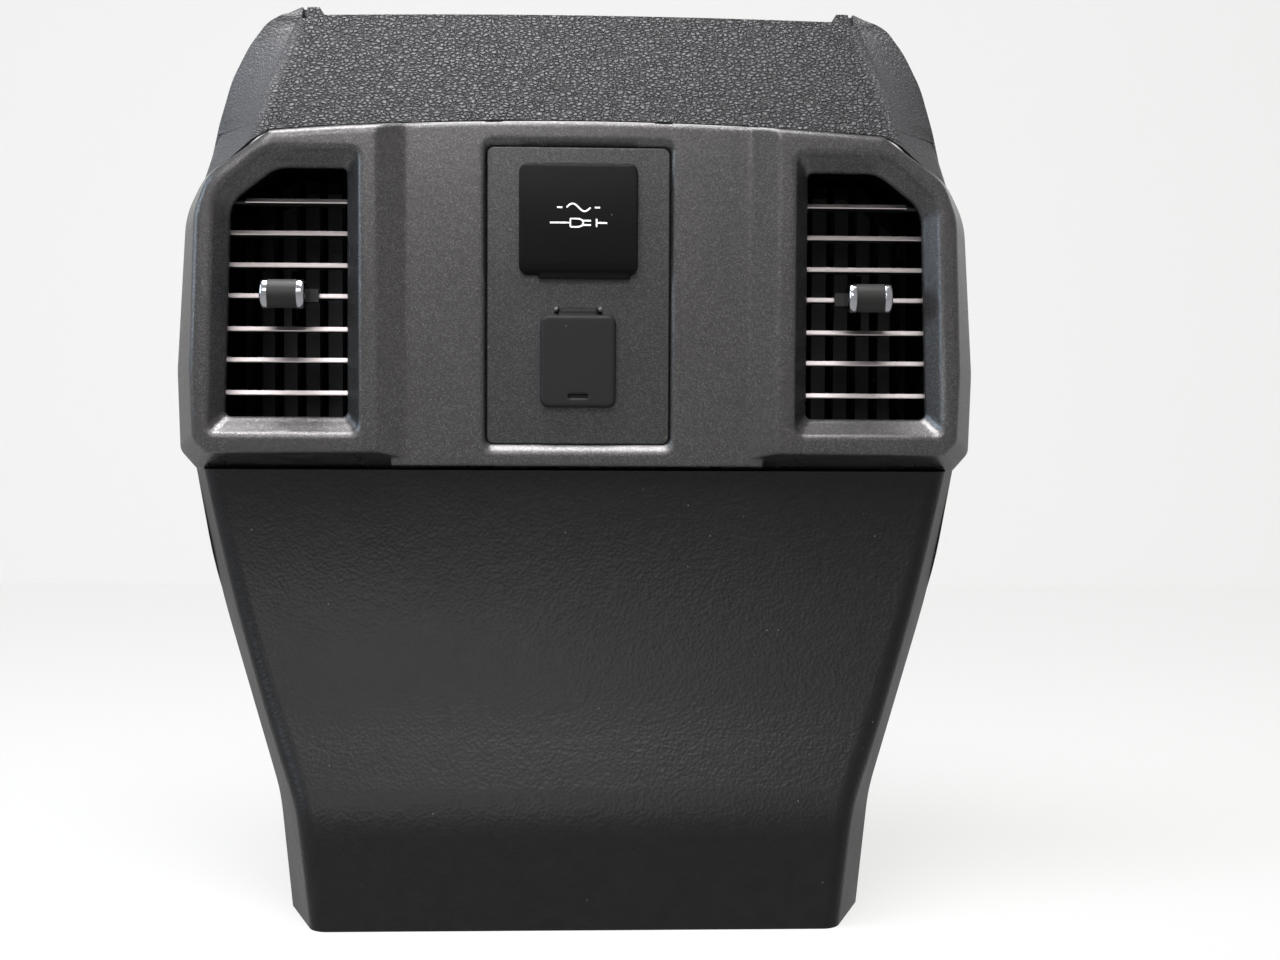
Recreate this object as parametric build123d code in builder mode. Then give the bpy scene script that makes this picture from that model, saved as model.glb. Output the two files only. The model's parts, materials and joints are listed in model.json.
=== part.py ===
"""Rear end panel of a car centre console, with two air vents and two power outlets.

X runs to the right as a rear passenger sees it, Y runs away from that passenger, Z is up.
The origin is under the middle of the part, on the surface that it stands on.
"""

import os
from math import cos, radians, sin, sqrt

from build123d import *

os.makedirs("parts", exist_ok=True)

# Walls and clearances
wall = 2.6
duct_wall = 2.0
seat_gap = 0.3
pin_gap = 0.05
part_line = 0.4

# Lower panel, side profile: flat front, bend, slope, toe
back_y = 75.0
panel_top_z = 183.0
panel_front_y = -24.0
bend_z, bend_r = 123.0, 200.0
kink_y, kink_z, kink_r = -71.2, 47.0, 40.0
toe_y = -75.0

# Lower panel from the front: half widths of the sides, and of the splayed edge at Y = 0
panel_sides = [(167.5, 183.0), (158.5, 132.0), (124.0, 48.0), (119.0, 0.0)]
panel_side_r = (200.0, 60.0)
panel_splay = [(167.6, 183.0), (139.5, 46.0), (135.0, 0.0)]
panel_splay_r = 60.0
panel_splay_angle = 21.8
panel_edge_r = 8.0
base_rim = 9.0
back_flange = 18.0
top_flange_y = 24.0
mount_hole_r = 2.6
low_mount_x, low_mount_z = 108.0, 40.0
high_mount_x, high_mount_z = 147.0, 140.0
gusset_x = (-75.0, -25.0, 25.0, 75.0)
gusset_depth = 30.0
gusset_drop = 48.0
gusset_wall = 1.8

# Upper cover: leaning front, half widths of the wings, and of the splayed edge at Y = 0
cover_low_z, cover_low_y = 306.0, -33.9
cover_limit_z, cover_limit_y = 384.4, 2.0
cover_sides = [
    (162.6, 306.0), (156.6, 333.0), (151.0, 352.0), (143.6, 366.6), (135.8, 377.0), (122.5, 384.4),
]
cover_side_r = (60.0, 45.0, 40.0, 14.0)
cover_splay = [(166.0, 312.0), (143.0, 352.0), (117.5, 384.4)]
cover_splay_r = 60.0
cover_splay_angle = 36.9
cover_edge_r = 4.0
cover_crease_r = 10.0
cover_back_y = 45.0
cover_top_z = 382.2
cover_top_end_z = 380.6
cover_ledge_y = 26.0
nub_inner_x, nub_outer_x = 113.5, 118.8
slit_width = 2.0
slit_depth = 4.5
cover_boss_r = 4.0
cover_boss_x = (-100.0, -38.0, 38.0, 100.0)
cover_boss_y = 13.0

# Bezel
shoulder_y = -18.0
pod_y = -33.0
centre_y = -28.0
bezel_back_y = 2.0
arch_x, arch_end_z, arch_top_z = 130.0, 326.5, 332.0
bezel_corners = [(158.5, 308.5), (167.0, 291.0), (171.0, 225.0), (170.0, 191.0), (163.0, 183.0)]
bezel_corner_r = (24.0, 36.0, 60.0, 6.0, 3.0)
bezel_bottom_z = bezel_corners[-1][1]
pod_face = [(154.6, 305.8), (159.8, 291.0), (162.0, 225.0), (161.0, 196.5), (155.5, 191.0)]
pod_face_top = (129.0, 325.0)
pod_corner_r = (18.0, 30.0, 60.0, 5.0, 3.0)
pod_inner_x = 84.6
pod_foot_x = 73.0
face_drop = 1.5
slab_x = 79.0
slab_chamfer = 2.2
pod_edge_r = 3.0
mouth_edge_r = 1.6

# Vent mouth: slanted rim in the bezel, then the aperture
mouth_outer = [(91.4, 198.0), (156.0, 198.0), (153.0, 299.5), (131.5, 318.5), (91.4, 318.5)]
mouth_inner = [(97.8, 205.5), (149.6, 205.5), (146.7, 295.6), (127.4, 310.5), (97.8, 310.5)]
mouth_outer_r = (4.0, 4.0, 18.0, 18.0, 4.0)
mouth_inner_r = (2.5, 2.5, 14.0, 14.0, 2.5)
aperture_y = -25.0
mouth_wall = 2.0
vent_seat_y = -23.0

# Vent housing and what moves in it
duct_front_y = 26.0
housing_in_x, housing_out_x = 96.9, 150.9
housing_low_z, housing_high_z = 203.5, 311.5
housing_corner_x, housing_corner_z = 128.0, 295.2
vent_centre_x = (housing_in_x + housing_out_x) / 2
blade_z = (215.7, 229.7, 242.9, 257.0, 270.1, 283.7, 297.3)
knob_blade = 3
blade_pivot_y = -13.0
blade_chord = 14.0
blade_wall = 2.0
blade_nose = 1.5
blade_lip = 0.4
top_blade_end_x = 141.5
pivot_r = 1.2
crank_r = 0.9
crank_reach = 5.5
link_width = 4.0
link_wall = 1.4
vane_count = 5
vane_pitch = 10.0
vane_pivot_y = 15.0
vane_wall = 1.8
post_reach = 18.5
post_r = 1.1
post_gap = 0.25
arm_low, arm_high = 9.4, 11.8
knob_width = 19.0
knob_height = 12.0
knob_front_y = -35.0
knob_root_y = -21.0
knob_trim_width = 3.4
jaw_half_width = 5.0
jaw_wall = 1.5
fork_reach = 14.6
sleeve_length = 4.0
sleeve_front_y = -22.5
ear_width = 10.0
ear_height = 9.0
ear_z_low, ear_z_high = 197.0, 318.2
screw_r = 1.5
screw_head_r = 3.0
screw_head = 2.0

# Outlet plate and its opening
plate_half_x = 39.3
plate_low_z, plate_high_z = 194.0, 320.7
rim_side, rim_end = 1.2, 3.0
plate_corner_r = 3.4
plate_recess = 2.0
plate_wall = 3.1
ledge_width = 4.0
ledge_wall = 2.4
plate_y = centre_y + plate_recess
plate_back_y = plate_y + plate_wall
hook_width = 9.0

# Flap over the outlet
door_half_x = 25.0
door_low_z = 266.0
door_axis_y, door_axis_z = -29.5, 309.8
door_edge_r = 3.2
door_front_y = -34.3
door_wall = 2.0
door_lip = 1.5
door_heel_r = 6.0
door_pin_r = 1.0
lug_in_x, lug_out_x = 14.9, 17.5
receptacle_z = 288.0
receptacle_half_x, receptacle_half_z = 20.0, 15.0
receptacle_face_y = -25.4
receptacle_flange = 6.0
receptacle_depth = 30.0

# Round power socket and its cap
socket_z = 229.3
socket_r = 10.6
socket_end_y = 6.0
socket_end_r = 9.0
barrel_wall = 1.6
barrel_end_y = 14.0
barrel_flange_r = 14.0
barrel_flange_y = -27.6
nut_r = 16.0
nut_end_y = -16.0
contact_r = 3.0
cap_half_x, cap_low_z, cap_high_z = 16.0, 210.0, 249.0
cap_front_y = -31.3
cap_corner_r = 3.5
cap_axis_y, cap_axis_z = -26.9, 251.4
bead_r = 0.9
bead_pin_r = 0.55
bead_half = 8.2
bead_ear_wall = 1.6

# Duct behind the vents
duct_back_y = 66.0
collar_half_x = 40.0
collar_low_z, collar_high_z = 100.0, 135.0
collar_back_y = 74.0

# Inner frame
frame_front_y = -10.0
frame_back_y = 22.0
frame_screw_x = 65.0
frame_screw_z = (199.0, 317.0)
bezel_boss_r = 4.0
tab_y = -6.0
tab_wall = 2.6
foot_x = (-110.0, -50.0, 50.0, 110.0)
foot_y = 14.0
foot_r = 6.0


def front_plane(y):
    """Plane that faces the passenger at a given depth, drawn in X and Z."""
    return Plane.XZ.offset(-y)


def arch_z(x):
    """Height of the bezel's arched top edge at a distance from the middle."""
    rise = arch_top_z - arch_end_z
    radius = (arch_x**2 + rise**2) / (2 * rise)
    return arch_top_z - (radius - sqrt(radius**2 - x**2))


def extend(line, reach):
    """Line of points carried on past both its ends in the same direction."""
    (x0, z0), (x1, z1) = line[0], line[1]
    (x2, z2), (x3, z3) = line[-2], line[-1]
    first = (x0 + (x0 - x1) * reach / abs(z0 - z1), z0 + (z0 - z1) * reach / abs(z0 - z1))
    last = (x3 + (x3 - x2) * reach / abs(z2 - z3), z3 + (z3 - z2) * reach / abs(z2 - z3))
    return [first] + line + [last]


def shared_edges(faces, others):
    """Edges where a face of the first list meets one of the second."""
    rims = others.edges()
    return [e for e in faces.edges() if any(e.is_same(rim) for rim in rims)]


def flared_solid(
    profile, bends, sides, side_radii, splay, splay_r, angle, crease_r, edge_r, inset
):
    """Shell form with a flat front whose side edges flare out as they run back.

    The side profile gives the front, the side line the widest outline, and the splay line
    the outline at Y = 0 of the flare. An inset gives the hollow of the same form.
    """
    reach = 40.0
    far = 4 * back_y
    with BuildPart() as form:
        with BuildSketch(Plane.YZ) as outline:
            with BuildLine():
                Polyline(*profile, close=True)
            make_face()
            for (y, z), radius in bends:
                spot = outline.vertices().filter_by(lambda v: abs(v.X - y) + abs(v.Y - z) < 1)
                fillet(spot, radius)
            if inset:
                offset(amount=-inset, kind=Kind.INTERSECTION)
        extrude(amount=far, both=True)
        right = extend(sides, reach)
        with BuildSketch(front_plane(far)) as widest:
            with BuildLine():
                Polyline(*right, *[(-x, z) for x, z in reversed(right)], close=True)
            make_face()
            for (x, z), radius in zip(sides[1:-1], side_radii):
                fillet(widest.vertices().filter_by(lambda v: abs(v.Y - z) < 0.1), radius)
            if inset:
                offset(amount=-inset, kind=Kind.INTERSECTION)
        extrude(amount=2 * far, mode=Mode.INTERSECT)
        flare_right = extend(splay, reach)
        with BuildSketch(front_plane(0)) as flare_outline:
            with BuildLine():
                Polyline(*flare_right, *[(-x, z) for x, z in reversed(flare_right)], close=True)
            make_face()
            fillet(flare_outline.vertices().filter_by(lambda v: abs(v.Y - splay[1][1]) < 0.1), splay_r)
            if inset:
                offset(amount=-inset / cos(radians(angle)), kind=Kind.INTERSECTION)
        front_reach = wall - min(y for y, z in profile)
        flare = extrude(amount=front_reach, taper=angle, mode=Mode.PRIVATE)
        with BuildSketch(front_plane(far)):
            Rectangle(2 * far, 3 * far)
        rear = extrude(amount=far, mode=Mode.PRIVATE)
        add(flare + rear, mode=Mode.INTERSECT)
        if crease_r:
            turned = form.faces().filter_by(lambda f: abs(f.normal_at().X) > 0.2)
            flanks = turned.filter_by(lambda f: abs(f.normal_at().Y) < 0.01)
            flares = turned.filter_by(lambda f: -0.97 < f.normal_at().Y < -0.1)
            fillet(shared_edges(flanks, flares), crease_r)
        if edge_r:
            fronts = form.faces().filter_by(lambda f: f.bounding_box().size.X > splay[-1][0])
            fronts = fronts.filter_by(lambda f: f.normal_at().Y < -0.2)
            front_rims = fronts.edges()
            fillet(
                front_rims.filter_by(lambda e: abs(e.center().X) > splay[-1][0] / 2), edge_r
            )
    return form.part


def round_corners(sketch, corners, radii):
    """Round some corners of the sketch that is being drawn, on both sides of the middle."""
    for (x, z), radius in zip(corners, radii):
        spots = sketch.vertices().filter_by(lambda v: abs(abs(v.X) - x) + abs(v.Y - z) < 0.1)
        fillet(spots, radius)


def shoulder_prism(inset, start_y, end_y):
    """Straight prism on the bezel's widest outline, inset all round."""
    right = [(arch_x, arch_end_z)] + bezel_corners
    left = [(-x, z) for x, z in reversed(right)]
    with BuildPart() as form:
        with BuildSketch(front_plane(start_y)) as outline:
            with BuildLine():
                ThreePointArc(left[-1], (0, arch_top_z), right[0])
                Polyline(*right, *left)
            make_face()
            round_corners(outline, bezel_corners, bezel_corner_r)
            if inset:
                offset(amount=-inset, kind=Kind.INTERSECTION)
        extrude(amount=-(end_y - start_y))
    return form.part


def pod_loft(inset):
    """Raised pod round the right vent, from the shoulder forward to its face."""
    flank = (pod_inner_x - pod_foot_x) / (centre_y - pod_y)
    shoulder_inner_x = pod_inner_x - flank * (shoulder_y - pod_y)
    outlines = [
        (shoulder_y, shoulder_inner_x, 0.0, (arch_x, arch_end_z), bezel_corners, bezel_corner_r),
        (pod_y, pod_inner_x, face_drop, pod_face_top, pod_face, pod_corner_r),
    ]
    with BuildPart() as form:
        for y, inner_x, drop, top, corners, radii in outlines:
            top_inner = (inner_x, arch_z(inner_x) - drop)
            mid_x = (inner_x + top[0]) / 2
            top_mid = (mid_x, (top_inner[1] + top[1]) / 2 + (arch_z(mid_x) - drop) * 0.001)
            bottom_inner = (inner_x, corners[-1][1])
            with BuildSketch(front_plane(y + inset)) as outline:
                with BuildLine():
                    ThreePointArc(top_inner, top_mid, top)
                    Polyline(top, *corners, bottom_inner, top_inner)
                make_face()
                round_corners(outline, corners, radii)
                if inset:
                    offset(amount=-inset, kind=Kind.INTERSECTION)
        loft(ruled=True)
    return form.part


def slab_loft(inset):
    """Lower centre of the bezel between the pods, from the shoulder forward to its face."""
    outlines = [(shoulder_y, 0.0, 0.0), (centre_y, face_drop, slab_chamfer)]
    with BuildPart() as form:
        for y, drop, chamfer_z in outlines:
            end_z = arch_z(slab_x) - drop
            low_z = bezel_bottom_z + chamfer_z
            with BuildSketch(front_plane(y + inset)):
                with BuildLine():
                    ThreePointArc((-slab_x, end_z), (0, arch_top_z - drop), (slab_x, end_z))
                    Polyline((slab_x, end_z), (slab_x, low_z), (-slab_x, low_z), (-slab_x, end_z))
                make_face()
                if inset:
                    offset(amount=-inset, kind=Kind.INTERSECTION)
        loft(ruled=True)
    return form.part


def mouth_loft(grow):
    """Slanted rim of the right vent mouth, grown all round by a wall."""
    with BuildPart() as form:
        for y, outline, radii in (
            (pod_y, mouth_outer, mouth_outer_r),
            (aperture_y, mouth_inner, mouth_inner_r),
        ):
            with BuildSketch(front_plane(y)) as ring:
                with BuildLine():
                    Polyline(*outline, close=True)
                make_face()
                round_corners(ring, outline, radii)
                if grow:
                    offset(amount=grow)
        loft(ruled=True)
    return form.part


def housing_outline():
    """Corners of the vent housing's inside, seen from the front."""
    return [
        (housing_in_x, housing_low_z),
        (housing_out_x, housing_low_z),
        (housing_out_x, housing_corner_z),
        (housing_corner_x, housing_high_z),
        (housing_in_x, housing_high_z),
    ]


def housing_prism(grow, start_y, end_y):
    """Prism on the vent housing's inside, grown all round by a wall."""
    with BuildPart() as form:
        with BuildSketch(front_plane(start_y)):
            with BuildLine():
                Polyline(*housing_outline(), close=True)
            make_face()
            if grow:
                offset(amount=grow, kind=Kind.INTERSECTION)
        extrude(amount=-(end_y - start_y))
    return form.part


def screw(plane, length):
    """Pan-head screw whose head stands on a plane and whose shank runs against its normal."""
    with BuildPart() as body:
        with BuildSketch(plane):
            Circle(screw_head_r)
        extrude(amount=screw_head)
        fillet(body.edges().filter_by(GeomType.CIRCLE).sort_by(SortBy.DISTANCE)[-1:], screw_head / 3)
        with BuildSketch(plane):
            Circle(screw_r)
        extrude(amount=-length)
    return body.part


def save(part, name):
    """Label a finished piece and write it."""
    part.label = name
    export_step(part, f"parts/{name}.step")


def save_group(solids, name):
    """Write several separate solids of one kind as one piece."""
    save(Compound(children=solids), name)


# Lower panel
panel_profile = [
    (panel_front_y, panel_top_z), (panel_front_y, bend_z), (kink_y, kink_z),
    (toe_y, 0), (back_y, 0), (back_y, panel_top_z),
]
panel_bends = [((kink_y, kink_z), kink_r), ((panel_front_y, bend_z), bend_r)]
panel_shape = (
    panel_profile, panel_bends, panel_sides, panel_side_r, panel_splay, panel_splay_r,
    panel_splay_angle,
)
with BuildPart() as back_opening:
    with BuildSketch(front_plane(back_y + wall)):
        with BuildLine():
            opening = [(x - back_flange, z) for x, z in panel_sides]
            Polyline(*opening, *[(-x, z) for x, z in reversed(opening)], close=True)
        make_face()
        with Locations((0, panel_top_z), (0, 0)):
            Rectangle(6 * back_y, 2 * wall, mode=Mode.SUBTRACT)
    extrude(amount=3 * wall)

with BuildPart() as lower_panel:
    add(flared_solid(*panel_shape, 0, panel_edge_r, 0))
    add(flared_solid(*panel_shape, 0, 0, wall), mode=Mode.SUBTRACT)
    add(back_opening.part, mode=Mode.SUBTRACT)
    with BuildSketch(Plane.XY):
        with BuildLine():
            foot_side = panel_sides[-1][0] - base_rim
            foot_front = foot_side - base_rim
            rim_right = [
                (foot_front - base_rim, toe_y + base_rim),
                (foot_front, toe_y + 2 * base_rim),
                (foot_side, toe_y + 5 * base_rim),
                (foot_side, back_y + wall),
            ]
            Polyline(*rim_right, *[(-x, y) for x, y in reversed(rim_right)], close=True)
        make_face()
    extrude(amount=wall * 2, mode=Mode.SUBTRACT)
    with BuildSketch(Plane.XY.offset(panel_top_z)):
        with Locations((0, (top_flange_y + back_y) / 2 + wall)):
            Rectangle(6 * back_y, back_y - top_flange_y + 2 * wall)
    extrude(amount=-2 * wall, mode=Mode.SUBTRACT)
    with BuildSketch(Plane.YZ, mode=Mode.PRIVATE) as gusset_side:
        with BuildLine():
            top_front = panel_front_y + wall / 2
            Polyline(
                (top_front, panel_top_z - wall / 2),
                (top_front + gusset_depth, panel_top_z - wall / 2),
                (top_front, panel_top_z - gusset_drop),
                close=True,
            )
        make_face()
    for x in gusset_x:
        extrude(gusset_side.sketch.moved(Location((x, 0, 0))), amount=gusset_wall / 2, both=True)
    for x, z in ((low_mount_x, low_mount_z), (high_mount_x, high_mount_z)):
        with BuildSketch(front_plane(back_y + wall)):
            with Locations((-x, z), (x, z)):
                Circle(mount_hole_r)
        extrude(amount=3 * wall, mode=Mode.SUBTRACT)
    with BuildSketch(Plane.XY.offset(panel_top_z)):
        with Locations(*[(x, foot_y) for x in foot_x]):
            Circle(screw_r + seat_gap)
    extrude(amount=-2 * wall, mode=Mode.SUBTRACT)
save(lower_panel.part, "lower_panel")

# Upper cover
cover_back = cover_back_y + 3 * wall
cover_outer_profile = [
    (cover_limit_y, cover_limit_z), (cover_low_y, cover_low_z),
    (cover_back_y, cover_low_z), (cover_back_y, cover_limit_z),
]
lean = (cover_limit_y - cover_low_y) / (cover_limit_z - cover_low_z)
hollow_top_z = cover_top_end_z
hollow_profile = [
    (cover_limit_y - lean * (cover_limit_z - hollow_top_z), hollow_top_z),
    (cover_low_y - lean * wall * 3, cover_low_z - wall * 3),
    (cover_back, cover_low_z - wall * 3), (cover_back, hollow_top_z),
]
cover_shape = (cover_sides, cover_side_r, cover_splay, cover_splay_r, cover_splay_angle)
bezel_clear = shoulder_prism(-part_line, pod_y - 20, bezel_back_y + part_line)
with BuildPart() as upper_cover:
    add(flared_solid(cover_outer_profile, [], *cover_shape, cover_crease_r, cover_edge_r, 0))
    add(flared_solid(hollow_profile, [], *cover_shape, 0, 0, wall), mode=Mode.SUBTRACT)
    add(bezel_clear, mode=Mode.SUBTRACT)
    with BuildSketch(front_plane(-60)):
        with BuildLine():
            ThreePointArc(
                (-nub_inner_x, cover_top_end_z), (0, cover_top_z), (nub_inner_x, cover_top_end_z)
            )
            Polyline(
                (nub_inner_x, cover_top_end_z), (nub_inner_x, cover_limit_z + 5),
                (-nub_inner_x, cover_limit_z + 5), (-nub_inner_x, cover_top_end_z),
            )
        make_face()
    extrude(amount=-160, mode=Mode.SUBTRACT)
    slit_x = nub_outer_x + slit_width / 2
    with BuildSketch(Plane.XY.offset(cover_limit_z + 1)):
        with Locations((-slit_x, 0), (slit_x, 0)):
            Rectangle(slit_width, 2 * cover_edge_r + 6)
    extrude(amount=-(slit_depth + 2), mode=Mode.SUBTRACT)
    with BuildSketch(Plane.XY.offset(cover_top_end_z + wall * 2)):
        with Locations((0, cover_ledge_y)):
            Rectangle(2 * nub_inner_x - 12, 60, align=(Align.CENTER, Align.MIN))
    extrude(amount=-4 * wall, mode=Mode.SUBTRACT)
    with BuildSketch(Plane.XY.offset(arch_top_z + part_line)):
        with Locations(*[(x, cover_boss_y) for x in cover_boss_x]):
            Circle(cover_boss_r)
    extrude(amount=cover_top_end_z - wall / 2 - arch_top_z - part_line)
    with BuildSketch(Plane.XY.offset(arch_top_z + part_line)):
        with Locations(*[(x, cover_boss_y) for x in cover_boss_x]):
            Circle(screw_r)
    extrude(amount=14, mode=Mode.SUBTRACT)
save(upper_cover.part, "upper_cover")

# Bezel
pod_outer = pod_loft(0)
slab_outer = slab_loft(0)
shoulder_outer = shoulder_prism(0, shoulder_y, bezel_back_y)
pod_inside = pod_loft(wall)
slab_inside = slab_loft(wall)
shoulder_inside = shoulder_prism(wall, shoulder_y + wall, bezel_back_y + 5)
mouth_shell = mouth_loft(mouth_wall)
mouth_hole = mouth_loft(0)
plate_mid_z = (plate_low_z + plate_high_z) / 2
plate_height = plate_high_z - plate_low_z
seat_plate = housing_prism(duct_wall, aperture_y, vent_seat_y)
with BuildPart() as aperture_cut:
    with BuildSketch(front_plane(aperture_y - 0.01)) as aperture_ring:
        with BuildLine():
            Polyline(*mouth_inner, close=True)
        make_face()
        round_corners(aperture_ring, mouth_inner, mouth_inner_r)
    extrude(amount=-(vent_seat_y - aperture_y + 1))

with BuildPart() as plate_rim:
    for y, side, end in ((centre_y, rim_side, rim_end), (plate_y, 0.0, 0.0)):
        with BuildSketch(front_plane(y)):
            with Locations((0, plate_mid_z)):
                RectangleRounded(
                    2 * (plate_half_x + side), plate_height + 2 * end, plate_corner_r + side
                )
    loft(ruled=True)

with BuildPart() as bezel:
    add(shoulder_outer)
    add(slab_outer)
    add(pod_outer)
    add(mirror(pod_outer, about=Plane.YZ, mode=Mode.PRIVATE))
    fillet(bezel.edges().group_by(Axis.Y)[0], pod_edge_r)
    add(shoulder_inside, mode=Mode.SUBTRACT)
    add(slab_inside, mode=Mode.SUBTRACT)
    add(pod_inside, mode=Mode.SUBTRACT)
    add(mirror(pod_inside, about=Plane.YZ, mode=Mode.PRIVATE), mode=Mode.SUBTRACT)
    for piece in (mouth_shell, seat_plate):
        add(piece)
        add(mirror(piece, about=Plane.YZ, mode=Mode.PRIVATE))
    for x in (-frame_screw_x, frame_screw_x):
        with BuildSketch(front_plane(centre_y + wall / 2)):
            with Locations(*[(x, z) for z in frame_screw_z]):
                Circle(bezel_boss_r)
        extrude(amount=-(tab_y - centre_y - wall / 2))
    for x in (-vent_centre_x, vent_centre_x):
        with BuildSketch(front_plane(pod_y + wall / 2)):
            with Locations((x, ear_z_low), (x, ear_z_high)):
                Circle(bezel_boss_r)
        extrude(amount=-(vent_seat_y - pod_y - wall / 2))
    with BuildSketch(front_plane(centre_y + wall / 2)):
        with Locations((0, plate_mid_z)):
            RectangleRounded(
                2 * (plate_half_x + mouth_wall), plate_height + 2 * mouth_wall,
                plate_corner_r + mouth_wall,
            )
    extrude(amount=-(plate_back_y + ledge_wall - centre_y - wall / 2))
    for piece in (mouth_hole, aperture_cut.part):
        add(piece, mode=Mode.SUBTRACT)
        add(mirror(piece, about=Plane.YZ, mode=Mode.PRIVATE), mode=Mode.SUBTRACT)
    pod_faces = bezel.faces().group_by(Axis.Y)[0]
    fillet([edge for face in pod_faces for edge in face.inner_wires().edges()], mouth_edge_r)
    with BuildSketch(front_plane(centre_y - 1)):
        with Locations((0, plate_mid_z)):
            RectangleRounded(2 * plate_half_x, plate_height, plate_corner_r)
    extrude(amount=-(plate_back_y - centre_y + 1), mode=Mode.SUBTRACT)
    add(plate_rim.part, mode=Mode.SUBTRACT)
    with BuildSketch(front_plane(plate_back_y - 1)):
        with Locations((0, plate_mid_z)):
            RectangleRounded(
                2 * (plate_half_x - ledge_width), plate_height - 2 * ledge_width, plate_corner_r
            )
    extrude(amount=-(ledge_wall + 2), mode=Mode.SUBTRACT)
    for x in (-frame_screw_x, frame_screw_x):
        with BuildSketch(front_plane(tab_y + 1)):
            with Locations(*[(x, z) for z in frame_screw_z]):
                Circle(screw_r)
        extrude(amount=12, mode=Mode.SUBTRACT)
    for x in (-vent_centre_x, vent_centre_x):
        with BuildSketch(front_plane(vent_seat_y + 1)):
            with Locations((x, ear_z_low), (x, ear_z_high)):
                Circle(screw_r)
        extrude(amount=6, mode=Mode.SUBTRACT)
save(bezel.part, "bezel")

# Inner frame
frame_outer = shoulder_prism(wall + part_line, frame_front_y, frame_back_y)
frame_inner = shoulder_prism(2 * wall + part_line, frame_front_y - 1, frame_back_y + 1)
frame_top_z = arch_z(frame_screw_x + 2 * bezel_boss_r) - wall - part_line
frame_low_z = bezel_bottom_z + wall + part_line
with BuildPart() as inner_frame:
    add(frame_outer)
    add(frame_inner, mode=Mode.SUBTRACT)
    for x in (-frame_screw_x, frame_screw_x):
        for z in frame_screw_z:
            beam_z = frame_low_z if z < plate_mid_z else frame_top_z
            reach = bezel_boss_r if z > beam_z else -bezel_boss_r
            with BuildSketch(front_plane(tab_y)):
                with Locations((x, (z + reach + beam_z) / 2)):
                    Rectangle(3 * bezel_boss_r, abs(z + reach - beam_z) - wall / 2)
            extrude(amount=-tab_wall)
            with BuildSketch(front_plane(tab_y - 1)):
                with Locations((x, z)):
                    Circle(screw_r + seat_gap)
            extrude(amount=-(tab_wall + 2), mode=Mode.SUBTRACT)
    with BuildSketch(Plane.XY.offset(panel_top_z)):
        with Locations(*[(x, foot_y) for x in foot_x]):
            Circle(foot_r)
    extrude(amount=frame_low_z - panel_top_z + wall / 2)
    with BuildSketch(Plane.XY.offset(panel_top_z)):
        with Locations(*[(x, foot_y) for x in foot_x]):
            Circle(screw_r)
    extrude(amount=2 * wall + 4, mode=Mode.SUBTRACT)
    for x in cover_boss_x:
        pad_z = arch_z(abs(x)) - wall - part_line
        with BuildSketch(Plane.XY.offset(pad_z - wall / 2)):
            with Locations((x, cover_boss_y)):
                Circle(cover_boss_r)
        extrude(amount=arch_top_z + part_line - pad_z + wall / 2)
        with BuildSketch(Plane.XY.offset(pad_z - 2 * wall)):
            with Locations((x, cover_boss_y)):
                Circle(screw_r + seat_gap)
        extrude(amount=4 * wall + 8, mode=Mode.SUBTRACT)
save(inner_frame.part, "inner_frame")

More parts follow.
